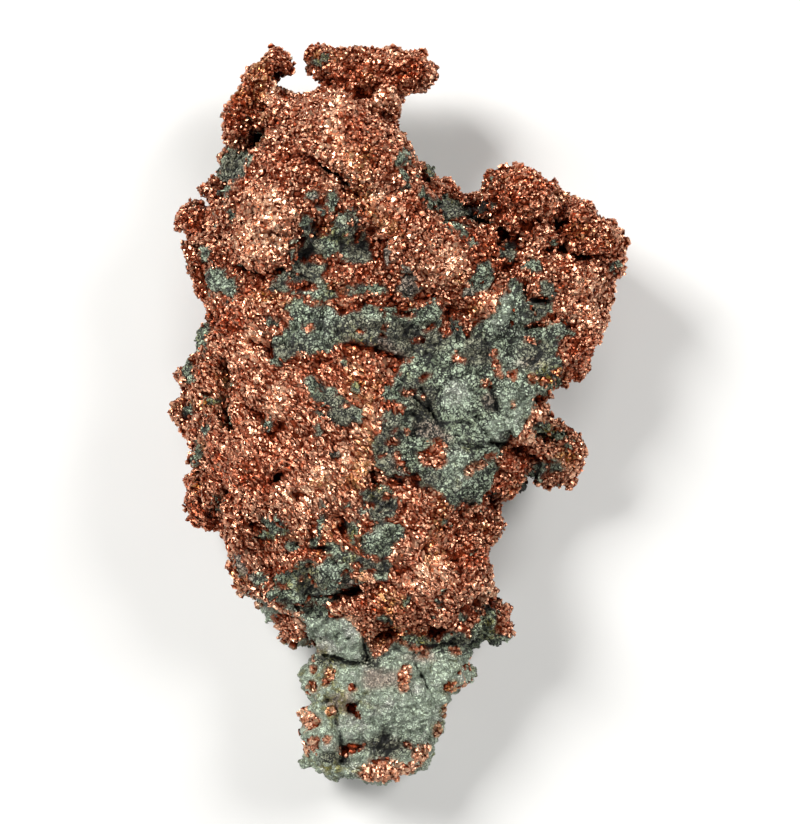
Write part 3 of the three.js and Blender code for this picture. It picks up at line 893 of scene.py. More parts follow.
OLIVE_SPOTS = (
    Patch(20.4, 5.2, 2.6, 1.5),
    Patch(20.6, -3.0, 2.0, 1.2),
    Patch(23.4, -6.4, 1.4, 1.4),
    Patch(12.2, -30.2, 1.4, 2.2),
    Patch(-18.2, -17.2, 1.2, 0.9),
    Patch(-6.6, -16.8, 1.0, 1.2),
    Patch(3.0, -31.4, 3.0, 0.9, -15.0),
    Patch(-2.6, -31.6, 0.8, 0.8),
    Patch(-18.2, 15.6, 2.2, 0.6),
    Patch(-27.0, 1.4, 2.4, 1.1),
    Patch(-10.4, 49.8, 2.4, 0.9),
    Patch(-22.6, -23.6, 1.8, 1.4, -40.0),
    Patch(6.8, -38.6, 1.2, 1.2),
    Patch(-10.0, -50.4, 3.2, 0.7),
    Patch(-6.4, -50.6, 1.2, 0.5),
    Patch(4.0, 33.4, 0.8, 1.2),
    Patch(-12.2, 37.0, 0.6, 0.6),
    Patch(-15.6, 14.6, 1.4, 0.5),
    Patch(-28.4, -9.6, 1.0, 1.2),
    Patch(10.0, -31.2, 0.7, 0.7),
    Patch(-7.2, -35.6, 1.4, 0.4),
)

DARK_SPOTS = (
    Patch(-13.2, 18.6, 3.2, 1.6),
    Patch(-5.4, 22.8, 2.2, 3.8, 20.0),
    Patch(-12.6, 22.0, 2.0, 2.6),
    Patch(7.7, 27.4, 2.4, 1.4),
    Patch(0.8, 10.0, 6.4, 2.4),
    Patch(-4.6, 10.9, 4.2, 2.2),
    Patch(18.7, 14.2, 1.6, 1.6),
    Patch(18.4, 8.4, 2.4, 1.6),
    Patch(3.0, 1.4, 1.8, 3.2, 30.0),
    Patch(10.6, 8.4, 2.2, 2.2),
    Patch(-1.6, -4.6, 2.0, 5.0),
    Patch(-3.0, -12.8, 3.0, 2.6),
    Patch(-3.6, -20.6, 3.8, 1.8, -20.0),
    Patch(-12.5, -23.4, 1.5, 2.6, 10.0),
    Patch(-8.8, 0.2, 2.8, 3.0),
    Patch(-11.2, -2.8, 1.0, 1.4),
    Patch(-2.0, -47.2, 3.8, 1.4),
    Patch(-9.6, -49.0, 1.8, 0.7),
    Patch(8.8, -31.6, 2.2, 1.1),
    Patch(-2.0, -31.6, 2.4, 1.2),
    Patch(-14.6, 8.4, 2.6, 1.0),
    Patch(-16.8, 17.2, 1.0, 1.6),
    Patch(-23.0, 34.0, 2.4, 2.6),
    Patch(20.4, 16.6, 1.2, 0.9),
    Patch(17.6, -5.8, 1.4, 0.7),
    Patch(-4.2, -34.4, 1.2, 1.6),
    Patch(-10.4, -34.8, 3.0, 0.5),
    Patch(14.4, 22.2, 1.4, 1.0),
    Patch(4.4, -9.2, 1.6, 1.0),
)

# Where the stone is bare of loose flakes.
BARE_SPOTS = (
    Patch(-12.6, -23.6, 2.4, 3.2, 10.0),
    Patch(-9.2, -22.2, 2.6, 1.4, -30.0),
    Patch(-8.0, -30.2, 3.0, 2.4),
)


def deepest(marks: tuple[Patch | Zone, ...], points: np.ndarray) -> np.ndarray:
    """How far each point is inside any of the patches or zones, in millimetres; negative outside all."""
    return np.maximum.reduce([mark.depth(points) for mark in marks])


# ---------------------------------------------------------------------------------------------------------
# The surface: how it wanders, and what it is made of at each point
# ---------------------------------------------------------------------------------------------------------


@dataclass(frozen=True)
class Surface:
    """The fields over the nugget; points are in millimetres and normals are unit vectors."""

    strand_turn: float = -48.0
    strand_side: tuple[float, float] = (1.0, 8.0)
    strand_slant: float = 0.35
    strand_middle: float = 8.0
    strand_top: tuple[float, float] = (18.0, 12.0)
    strand_bottom: tuple[float, float] = (-31.0, -26.0)
    edge_wander: float = 0.55
    edge_grain: float = 2.4
    mingling: float = 0.55
    flank_patch: float = 11.0
    flank_copper: float = 0.12
    hidden_speck_rarity: float = 0.62
    foot_y: float = -31.0
    foot_slant: float = 0.3
    crust_room: float = 0.45
    copper_clumps: Clumps = Clumps(3.4, 0.75, 0.55, Noise.COPPER_CLUMPS)
    copper_knobs: Clumps = Clumps(1.5, 0.5, 0.5, Noise.COPPER_KNOBS)
    copper_streaks: Clumps = Clumps(1.7, 0.9, 0.5, Noise.COPPER_STREAKS)
    stone_lumps: Clumps = Clumps(2.6, 0.75, 0.45, Noise.STONE_LUMPS)
    stone_grain: Clumps = Clumps(1.1, 0.3, 0.4, Noise.STONE_GRAIN)
    streak_length: tuple[float, float, float] = (3.0, 1.0, 1.2)
    clump_base: float = 0.9
    streak_base: float = 0.55
    stone_base: float = 0.95

    def strands(self, points: np.ndarray, normals: np.ndarray) -> np.ndarray:
        """How much the copper grows in slanting strands, as it does over the broad left side.

        Args:
            points: N x 3 places.
            normals: N x 3 directions.

        Returns:
            N numbers from 0 to 1.
        """
        along = points[:, 1]
        lean = -points[:, 0] - self.strand_slant * (along - self.strand_middle)
        between = smoothstep(*self.strand_top, along) * smoothstep(*self.strand_bottom, along)
        return smoothstep(*self.strand_side, lean) * between * self.facing(normals)

    def facing(self, normals: np.ndarray) -> np.ndarray:
        """How much a point belongs to the broad face, on which the marks are placed."""
        return smoothstep(-0.05, 0.4, normals[:, 2])

    def warped(self, points: np.ndarray) -> np.ndarray:
        """Move the points about a little, so that no patch keeps a smooth outline.

        Args:
            points: N x 3 places.

        Returns:
            N x 3 places close to them.
        """
        drift = np.zeros_like(points)
        for axis in range(2):
            drift[:, axis] = fractal_noise(points, self.edge_grain, 4, Noise.EDGES + 10 * axis)
        return points + self.edge_wander * drift

    def rock_depth(self, points: np.ndarray, normals: np.ndarray) -> np.ndarray:
        """How far each point is inside the green rock, in millimetres; negative in the copper.

        Args:
            points: N x 3 places.
            normals: N x 3 directions.

        Returns:
            N signed depths.
        """
        warped = self.warped(points)
        veined = deepest((*ROCK_ZONES, *ROCK_PATCHES), warped)
        veined += self.mingling * fractal_noise(points, 1.5, 2, Noise.MINGLING)
        veined = np.minimum(veined, -deepest(COPPER_ISLANDS, warped))
        flank_noise = fractal_noise(points, self.flank_patch, 4, Noise.FLANK_ROCK)
        flank = 2.2 * (flank_noise - self.flank_copper)
        depth = blend(flank, veined, self.facing(normals))
        line_x, line_y = np.array(FOOT_LINE).T
        foot = np.interp(points[:, 0], line_x, line_y) - warped[:, 1]
        specks = deepest(FOOT_SPECKS, warped)
        speck_noise = fractal_noise(points, 4.0, 2, Noise.HIDDEN_SPECKS)
        hidden_specks = 1.4 * (speck_noise - self.hidden_speck_rarity)
        specks = blend(hidden_specks, specks, self.facing(normals))
        return np.maximum(depth, np.minimum(foot, -specks))

    def traits(self, points: np.ndarray, normals: np.ndarray) -> dict[Trait, np.ndarray]:
        """What the surface is like at each point.

        Args:
            points: N x 3 places.
            normals: N x 3 directions.

        Returns:
            Numbers from 0 to 1 for each trait but the hollow and the shade.
        """
        facing = self.facing(normals)
        warped = self.warped(points)
        rock = smoothstep(-0.25, 0.25, self.rock_depth(points, normals))
        drift = fractal_noise(points, 7.0, 3, Noise.WARMTH)
        pale = smoothstep(-1.2, 1.4, deepest(PALE_AND_HIGHLIGHT_SPOTS, warped)) * facing
        foot = smoothstep(0.0, 2.0, self.foot_y - points[:, 1] - self.foot_slant * points[:, 0])
        pale_noise = fractal_noise(points, 4.0, 2, Noise.PALENESS)
        pale = np.clip(pale + 0.35 * pale_noise + 0.7 * foot, 0.0, 1.0)
        ruddy = smoothstep(-1.2, 1.2, deepest(RUDDY_AND_SHADE_SPOTS, warped)) * facing
        ruddy = np.clip(ruddy + 0.5 * smoothstep(0.1, 0.8, drift), 0.0, 1.0)
        haze = smoothstep(-0.5, 0.6, deepest(HAZE_SPOTS, warped)) * facing
        ruddy = blend(ruddy, haze, rock)
        olive = smoothstep(-0.6, 0.8, deepest(OLIVE_SPOTS, warped)) * facing
        olive_noise = fractal_noise(points, 5.0, 2, Noise.OLIVE_STAIN)
        olive = np.clip(olive + 0.7 * smoothstep(0.5, 0.9, olive_noise), 0.0, 1.0)
        dark = smoothstep(-0.7, 0.7, deepest(DARK_SPOTS, warped)) * facing
        pale = blend(pale, blend(0.8 * pale, 0.65 + 0.35 * pale, foot), rock) * (1.0 - 0.8 * dark)
        return {Trait.ROCK: rock, Trait.PALE: pale, Trait.RUDDY: ruddy, Trait.OLIVE: olive, Trait.DARK: dark}

    def height(self, points: np.ndarray, normals: np.ndarray) -> np.ndarray:
        """How far the skin stands out from the smooth form, in millimetres.

        Args:
            points: N x 3 places.
            normals: N x 3 directions.

        Returns:
            N heights.
        """
        facing = self.facing(normals)
        rock = smoothstep(-0.4, 0.4, self.rock_depth(points, normals))
        marks = sum(mark.height(points) for mark in (*SEAMS, *SWELLS))
        to_strands = turn_matrix((0.0, 0.0, -self.strand_turn))
        drawn_out = (points @ to_strands.T) / np.array(self.streak_length)
        strands = self.strands(points, normals)
        clumps = self.copper_clumps.height(points)
        clumps += self.copper_knobs.height(points) - self.clump_base
        streaks = self.copper_streaks.height(drawn_out) - self.streak_base
        roll = fractal_noise(points, 6.0, 3, Noise.COPPER_ROLL)
        copper = 0.6 * roll + blend(clumps, streaks, 0.8 * strands)
        copper += 0.25 * lattice_noise(points / 1.2, Noise.COPPER_GRAIN)
        stone = 0.6 * fractal_noise(points, 4.5, 2, Noise.STONE_ROLL)
        stone += self.stone_lumps.height(points) - self.stone_base
        stone += self.stone_grain.height(points)
        return blend(copper - self.crust_room, stone, rock) + marks * facing


# ---------------------------------------------------------------------------------------------------------
# Mesh helpers
# ---------------------------------------------------------------------------------------------------------


def read_vectors(collection: bpy.types.bpy_prop_collection, name: str) -> np.ndarray:
    """Read a vector property of every element.

    Args:
        collection: the mesh's points, faces or attribute values.
        name: the property.

    Returns:
        An N x 3 array.
    """
    flat = np.empty(3 * len(collection))
    collection.foreach_get(name, flat)
    return flat.reshape(-1, 3)


def write_trait(mesh: bpy.types.Mesh, trait: Trait, values: np.ndarray) -> None:
    """Store a trait on the mesh's points."""
    layer = mesh.attributes.new(trait.value, "FLOAT", "POINT")
    layer.data.foreach_set("value", values.astype(np.float32))


def finished_mesh(form: bmesh.types.BMesh, name: str) -> bpy.types.Mesh:
    """Turn a form under construction into a mesh, and let the form go.

    Args:
        form: the form.
        name: the mesh's name.

    Returns:
        The new mesh.
    """
    mesh = bpy.data.meshes.new(name)
    form.to_mesh(mesh)
    form.free()
    return mesh


def place(mesh: bpy.types.Mesh, name: str, finish: bpy.types.Material) -> bpy.types.Object:
    """Put a finished mesh in the scene.

    Args:
        mesh: the mesh.
        name: the piece's name.
        finish: its material.

    Returns:
        The new piece.
    """
    piece = bpy.data.objects.new(name, mesh)
    bpy.context.scene.collection.objects.link(piece)
    mesh.materials.append(finish)
    return piece


# ---------------------------------------------------------------------------------------------------------
# Finishes
# ---------------------------------------------------------------------------------------------------------

Tint = tuple[float, float, float, float]


def linear(red: int, green: int, blue: int) -> Tint:
    """A colour given as it shows on a screen, from 0 to 255, as the shader wants it."""
    shares = [channel / 255.0 for channel in (red, green, blue)]
    return (*[s / 12.92 if s <= 0.04045 else ((s + 0.055) / 1.055) ** 2.4 for s in shares], 1.0)


class NodeSketch:
    """A node tree under construction, with short calls for the nodes that the finishes use."""

    def __init__(self, tree: bpy.types.NodeTree) -> None:
        """Start with an empty tree."""
        self.tree = tree
        tree.nodes.clear()

    def add(self, kind: str, **settings: object) -> bpy.types.Node:
        """Add a node.

        Args:
            kind: the node's type.
            settings: its properties.

        Returns:
            The node.
        """
        node = self.tree.nodes.new(kind)
        for name, value in settings.items():
            setattr(node, name, value)
        return node

    def feed(self, socket: bpy.types.NodeSocket, source: object) -> None:
        """Link a socket to another socket, or set it to a plain value.

        Args:
            socket: the input to feed.
            source: an output socket, or the value.
        """
        if isinstance(source, bpy.types.NodeSocket):
            self.tree.links.new(source, socket)
        else:
            socket.default_value = source

    def maths(self, operation: str, *values: object) -> object:
        """Work something out with a Math node.

        Args:
            operation: the node's operation.
            values: its numbers or sockets, in order.

        Returns:
            The result's socket.
        """
        node = self.add("ShaderNodeMath", operation=operation)
        for socket, value in zip(node.inputs, values):
            self.feed(socket, value)
        return node.outputs[0]

    def ramp(self, value: object, low: float, high: float, start: float = 0.0, end: float = 1.0) -> object:
        """Ease a number from start to end.

        Args:
            value: the socket that steers it.
            low: where the result is start.
            high: where the result is end.
            start: the result at low.
            end: the result at high.

        Returns:
            The result's socket.
        """
        node = self.add("ShaderNodeMapRange", interpolation_type="SMOOTHSTEP")
        for socket, source in zip(node.inputs, (value, low, high, start, end)):
            self.feed(socket, source)
        return node.outputs["Result"]

    def mix(self, share: object, first: object, second: object, kind: str = "RGBA") -> object:
        """Mix two colours or two numbers.

        Args:
            share: 0 gives the first, 1 the second.
            first: a colour or number, or its socket.
            second: the other one.
            kind: RGBA for colours, FLOAT for numbers.

        Returns:
            The result's socket.
        """
        node = self.add("ShaderNodeMix", data_type=kind, clamp_factor=True)
        ending = {"RGBA": "_Color", "FLOAT": "_Float"}[kind]
        sockets = {socket.identifier: socket for socket in node.inputs}
        self.feed(sockets["Factor_Float"], share)
        self.feed(sockets["A" + ending], first)
        self.feed(sockets["B" + ending], second)
        return next(socket for socket in node.outputs if socket.identifier == "Result" + ending)

    def noise(self, where: object, scale: float, detail: float = 2.0, roughness: float = 0.55) -> object:
        """Make noise from 0 to 1.

        Args:
            where: the place's socket, in millimetres.
            scale: features per millimetre.
            detail: how many finer sizes are added.
            roughness: how strong each finer size is.

        Returns:
            The noise's socket.
        """
        node = self.add("ShaderNodeTexNoise")
        for name, source in (("Vector", where), ("Scale", scale), ("Detail", detail)):
            self.feed(node.inputs[name], source)
        node.inputs["Roughness"].default_value = roughness
        return node.outputs["Fac"]

    def stirred(self, where: object, scale: float, reach: float) -> object:
        """Move a place about by noise.

        Args:
            where: the place's socket, in millimetres.
            scale: the noise's features per millimetre.
            reach: how far the place moves at most, in millimetres.

        Returns:
            The moved place's socket.
        """
        noise = self.add("ShaderNodeTexNoise")
        self.feed(noise.inputs["Vector"], where)
        noise.inputs["Scale"].default_value = scale
        centred = self.add("ShaderNodeVectorMath", operation="SUBTRACT")
        self.feed(centred.inputs[0], noise.outputs["Color"])
        centred.inputs[1].default_value = (0.5, 0.5, 0.5)
        moved = self.add("ShaderNodeVectorMath", operation="MULTIPLY_ADD")
        self.feed(moved.inputs[0], centred.outputs[0])
        moved.inputs[1].default_value = (2.0 * reach,) * 3
        self.feed(moved.inputs[2], where)
        return moved.outputs[0]

    def cell_gap(self, where: object, scale: float) -> object:
        """Measure the distance to the nearest wall between cells.

        Args:
            where: the place's socket, in millimetres.
            scale: cells per millimetre.

        Returns:
            The distance's socket, in cells.
        """
        cells = self.add("ShaderNodeTexVoronoi", feature="DISTANCE_TO_EDGE")
        self.feed(cells.inputs["Vector"], where)
        cells.inputs["Scale"].default_value = scale
        return cells.outputs["Distance"]

    def trait(self, trait: Trait) -> object:
        """The value of a trait stored on the mesh."""
        return self.add("ShaderNodeAttribute", attribute_name=trait.value).outputs["Fac"]

    def traits(self, *wanted: Trait) -> dict[str, object]:
        """The values of several traits, by the names of the effect inputs that take them."""
        return {trait.name.title(): self.trait(trait) for trait in wanted}

    def millimetres(self) -> object:
        """Find the place on the piece.

        Returns:
            The place's socket, in millimetres.
        """
        node = self.add("ShaderNodeVectorMath", operation="SCALE")
        self.feed(node.inputs[0], self.add("ShaderNodeTexCoord").outputs["Object"])
        node.inputs["Scale"].default_value = 1.0 / MM
        return node.outputs[0]


class EffectGroup:
    """A shader node group with named inputs and outputs, built once and shared by the materials."""

    def __init__(self, name: str, inputs: dict[str, str], outputs: dict[str, str]) -> None:
        """Make the group's sockets.

        Args:
            name: the group's name.
            inputs: socket type of each input by its name.
            outputs: socket type of each output by its name.
        """
        self.tree = bpy.data.node_groups.new(name, "ShaderNodeTree")
        self.sketch = NodeSketch(self.tree)
        for in_out, sockets in (("INPUT", inputs), ("OUTPUT", outputs)):
            for socket_name, kind in sockets.items():
                self.tree.interface.new_socket(socket_name, in_out=in_out, socket_type=kind)
        self.given = self.sketch.add("NodeGroupInput").outputs
        self.result = self.sketch.add("NodeGroupOutput").inputs

    def use(self, sketch: NodeSketch, **sources: object) -> bpy.types.NodeOutputs:
        """Place the group in another tree.

        Args:
            sketch: the tree.
            sources: what feeds each input, by the input's name.

        Returns:
            The group's outputs.
        """
        node = sketch.add("ShaderNodeGroup", node_tree=self.tree)
        for name, source in sources.items():
            sketch.feed(node.inputs[name], source)
        return node.outputs


FLOAT, COLOUR, VECTOR = "NodeSocketFloat", "NodeSocketColor", "NodeSocketVector"


def facet_group() -> EffectGroup:
    """Build the effect of tiny flat faces that lean every way.

    Returns:
        A group that gives a height whose slope is even within each cell, and each cell's own number.
    """
    group = EffectGroup("tiny facets", {"Place": VECTOR, "Scale": FLOAT}, {"Height": FLOAT, "Cell": FLOAT})
    sketch = group.sketch
    cells = sketch.add("ShaderNodeTexVoronoi", feature="F1")
    sketch.feed(cells.inputs["Vector"], group.given["Place"])
    sketch.feed(cells.inputs["Scale"], group.given["Scale"])
    offset = sketch.add("ShaderNodeVectorMath", operation="SUBTRACT")
    sketch.feed(offset.inputs[0], group.given["Place"])
    sketch.feed(offset.inputs[1], cells.outputs["Position"])
    lean = sketch.add("ShaderNodeVectorMath", operation="SUBTRACT")
    sketch.feed(lean.inputs[0], cells.outputs["Color"])
    lean.inputs[1].default_value = (0.5, 0.5, 0.5)
    slope = sketch.add("ShaderNodeVectorMath", operation="DOT_PRODUCT")
    sketch.feed(slope.inputs[0], offset.outputs[0])
    sketch.feed(slope.inputs[1], lean.outputs[0])
    sketch.feed(group.result["Height"], slope.outputs["Value"])
    # The cell's number is the red part of the colour that also sets its lean, so a tone keyed to it follows
    # the lean of each tiny face.
    split = sketch.add("ShaderNodeSeparateColor")
    sketch.feed(split.inputs[0], cells.outputs["Color"])
    sketch.feed(group.result["Cell"], split.outputs[0])
    return group


SURFACE_OUTPUTS = {"Colour": COLOUR, "Roughness": FLOAT, "Height": FLOAT}


@dataclass(frozen=True)
class CopperTone:
    """The colours of native copper, from its clean facets to the painted shade of its hollows."""

    clean: Tint = linear(230, 168, 134)
    # Colour of the pale spots, also used for the painted highlight on tiny faces.
    pale_glint: Tint = linear(244, 200, 166)
    ruddy: Tint = linear(184, 84, 48)
    tan: Tint = linear(196, 142, 114)
    ochre: Tint = linear(170, 124, 60)
    # Painted shade: red-brown in hollows and low on the crystals, near black in the deepest.
    shaded: Tint = linear(138, 58, 32)
    deep_shade: Tint = linear(50, 11, 3)

    def group(self, facets: EffectGroup) -> EffectGroup:
        """Build the copper's colour, gloss and fine relief.

        Args:
            facets: the shared effect of tiny flat faces.

        Returns:
            A group whose inputs are the place and the traits.
        """
        group = EffectGroup(
            "copper surface",
            {"Place": VECTOR, "Pale": FLOAT, "Ruddy": FLOAT, "Olive": FLOAT, "Hollow": FLOAT, "Shade": FLOAT},
            SURFACE_OUTPUTS,
        )
        sketch, given, where = group.sketch, group.given, group.given["Place"]
        flecks = facets.use(sketch, Place=where, Scale=2.1)
        mottle = sketch.noise(where, 0.45, 3.0)
        colour = sketch.mix(sketch.ramp(mottle, 0.35, 0.7), self.clean, self.tan)
        blotches = sketch.ramp(sketch.noise(where, 0.9, 3.0), 0.3, 0.6)
        # Ruddy spots: partly the copper's warmer tone, partly painted shade.
        warm = sketch.maths("MULTIPLY", given["Ruddy"], blotches)
        colour = sketch.mix(warm, colour, self.ruddy)
        # Pale spots on the copper: paler grains and a painted highlight over the brighter ridges and lobes.
        bright = sketch.maths("MULTIPLY", given["Pale"], sketch.ramp(mottle, 0.3, 0.65))
        colour = sketch.mix(bright, colour, self.pale_glint)
        # Painted highlight: tiny faces that lean one way are mixed towards the pale glint colour.
        glint = sketch.ramp(flecks["Cell"], 0.55, 1.0, 0.0, 0.55)
        colour = sketch.mix(glint, colour, self.pale_glint)
        # Painted shade: tiny faces that lean the other way are dulled towards ruddy, more on some crystals
        # than on others.
        dull = sketch.ramp(flecks["Cell"], 0.25, 0.0, 0.0, 0.5)
        colour = sketch.mix(sketch.maths("MULTIPLY", dull, given["Shade"]), colour, self.ruddy)
        stain_noise = sketch.ramp(sketch.noise(where, 1.4), 0.4, 0.6)
        stain = sketch.maths("MULTIPLY", given["Olive"], stain_noise)
        colour = sketch.mix(stain, colour, self.ochre)
        # Painted shade: hollows and the low parts of crystals go red-brown, then near black.
        colour = sketch.mix(sketch.ramp(given["Hollow"], 0.0, 0.6), colour, self.shaded)
        colour = sketch.mix(sketch.ramp(given["Hollow"], 0.3, 1.0), colour, self.deep_shade)
        sketch.feed(group.result["Colour"], colour)
        gloss = sketch.ramp(sketch.noise(where, 1.3, 2.0), 0.3, 0.75, 0.24, 0.46)
        dulled = sketch.maths("MULTIPLY", given["Hollow"], 0.3)
        sketch.feed(group.result["Roughness"], sketch.maths("ADD", gloss, dulled))
        relief_height = sketch.maths("ADD", flecks["Height"], sketch.noise(where, 3.0))
        sketch.feed(group.result["Height"], relief_height)
        return group


@dataclass(frozen=True)
class RockTone:
    """The colours of the chlorite rock, from its chalky green to the black gaps between its grains, whose
    colour is also painted into its hollows as shade.
    """

    green: Tint = linear(222, 240, 206)
    deep: Tint = linear(148, 160, 130)
    dusk: Tint = linear(150, 140, 118)
    chalk: Tint = linear(226, 242, 216)
    white: Tint = linear(244, 246, 230)
    pink: Tint = linear(206, 176, 160)
    olive: Tint = linear(164, 156, 60)
    gap: Tint = linear(12, 13, 8)

    def group(self, facets: EffectGroup) -> EffectGroup:
        """Build the rock's colour, roughness and fine relief.

        Args:
            facets: the shared effect of tiny flat faces.

        Returns:
            A group whose inputs are the place and the traits.
        """
        group = EffectGroup(
            "rock surface",
            {
                "Place": VECTOR, "Pale": FLOAT, "Ruddy": FLOAT, "Olive": FLOAT, "Dark": FLOAT,
                "Hollow": FLOAT, "Shade": FLOAT,
            },
            SURFACE_OUTPUTS,
        )
        sketch, given, where = group.sketch, group.given, group.given["Place"]
        flecks = facets.use(sketch, Place=where, Scale=2.6)
        cloud = sketch.noise(where, 0.6, 4.0, 0.6)
        crumpled = sketch.stirred(where, 0.9, 0.7)
        open_here = sketch.ramp(sketch.noise(where, 0.5, 2.0), 0.35, 0.6, 0.015, 0.075)
        broad = sketch.ramp(self._wrinkle(sketch, crumpled, 0.75), 0.0, open_here)
        narrow = sketch.ramp(self._wrinkle(sketch, crumpled, 2.3), 0.0, 0.06)
        fine = sketch.ramp(sketch.cell_gap(crumpled, 3.0), 0.0, 0.18)
        wandering = sketch.stirred(where, 1.3, 0.35)
        closed = sketch.ramp(sketch.noise(where, 0.7, 2.0), 0.5, 0.64, 0.0, 0.7)
        lumps = sketch.maths("MAXIMUM", sketch.ramp(sketch.cell_gap(wandering, 1.15), 0.01, 0.11), closed)
        colour = sketch.mix(sketch.ramp(cloud, 0.36, 0.62), self.deep, self.green)
        specks = sketch.ramp(sketch.noise(where, 1.5, 3.0, 0.6), 0.48, 0.36, 0.0, 0.5)
        colour = sketch.mix(sketch.maths("MULTIPLY", given["Pale"], 0.85), colour, self.chalk)
        bleached = sketch.ramp(sketch.noise(where, 0.35, 3.0), 0.5, 0.7)
        whiten = sketch.maths("MULTIPLY", given["Pale"], bleached)
        colour = sketch.mix(whiten, colour, self.white)
        # Painted highlight and shade on tiny faces: those leaning one way are lightened towards chalk, more
        # on some flakes than others; those leaning the other way are darkened towards deep green.
        lift = sketch.ramp(flecks["Cell"], 0.5, 1.0, 0.0, 0.5)
        colour = sketch.mix(sketch.maths("MULTIPLY", lift, given["Shade"]), colour, self.chalk)
        sink = sketch.ramp(flecks["Cell"], 0.4, 0.0, 0.0, 0.75)
        colour = sketch.mix(sink, colour, self.deep)
        colour = sketch.mix(sketch.maths("MULTIPLY", given["Dark"], 0.7), colour, self.dusk)
        colour = sketch.mix(sketch.maths("MULTIPLY", given["Ruddy"], 0.75), colour, self.pink)
        stain_noise = sketch.ramp(sketch.noise(where, 1.2), 0.4, 0.62)
        stain = sketch.maths("MULTIPLY", given["Olive"], stain_noise)
        colour = sketch.mix(stain, colour, self.olive)
        cracks = sketch.maths("MULTIPLY", broad, sketch.maths("MULTIPLY_ADD", fine, 0.6, 0.4))
        cracks = sketch.maths("MULTIPLY", cracks, sketch.maths("MULTIPLY_ADD", narrow, 0.75, 0.25))
        cracks = sketch.maths("MULTIPLY", cracks, lumps)
        cracks = sketch.maths("MULTIPLY", cracks, sketch.maths("SUBTRACT", 1.0, specks))
        cracks = sketch.ramp(cracks, 0.12, 0.62)
        healed = sketch.ramp(given["Pale"], 0.4, 1.0, 0.02, 0.3)
        cracks = sketch.maths("MAXIMUM", cracks, healed)
        colour = sketch.mix(cracks, self.gap, colour)
        # Painted shade: hollows and the low parts of flakes are darkened to the gap colour, less where the
        # stone is pale.
        sunken = sketch.maths("MULTIPLY_ADD", given["Pale"], -0.25, given["Hollow"])
        colour = sketch.mix(sketch.ramp(sunken, 0.12, 0.9), colour, self.gap)
        sketch.feed(group.result["Colour"], colour)
        sketch.feed(group.result["Roughness"], sketch.ramp(cloud, 0.3, 0.7, 0.36, 0.55))
        wrinkles = sketch.maths("ADD", flecks["Height"], sketch.noise(where, 3.0))
        sketch.feed(group.result["Height"], sketch.maths("ADD", wrinkles, cracks))
        return group

    @staticmethod
    def _wrinkle(sketch: NodeSketch, where: object, scale: float) -> object:
        """How far a place is from the nearest of many wandering lines, from 0 on a line."""
        centred = sketch.maths("SUBTRACT", sketch.noise(where, scale, 1.0), 0.5)
        return sketch.maths("ABSOLUTE", centred)


def principled(name: str) -> tuple[bpy.types.Material, NodeSketch, bpy.types.Node]:
    """Make a material with one Principled shader wired to its output.

    Args:
        name: the material's name.

    Returns:
        The material, its tree and its shader.
    """
    material = bpy.data.materials.new(name)
    material.use_nodes = True
    sketch = NodeSketch(material.node_tree)
    shader = sketch.add("ShaderNodeBsdfPrincipled")
    output = sketch.add("ShaderNodeOutputMaterial")
    sketch.feed(output.inputs["Surface"], shader.outputs[0])
    return material, sketch, shader


def relief(sketch: NodeSketch, shader: bpy.types.Node, height: object, strength: float, depth: float) -> None:
    """Give a shader fine relief.

    Args:
        sketch: the material's tree.
        shader: the shader to feed.
        height: the relief's height socket, in millimetres.
        strength: how much of it shows.
        depth: metres for each unit of height.
    """
    bump = sketch.add("ShaderNodeBump")
    sketch.feed(bump.inputs["Height"], height)
    bump.inputs["Strength"].default_value = strength
    bump.inputs["Distance"].default_value = depth
    sketch.feed(shader.inputs["Normal"], bump.outputs["Normal"])


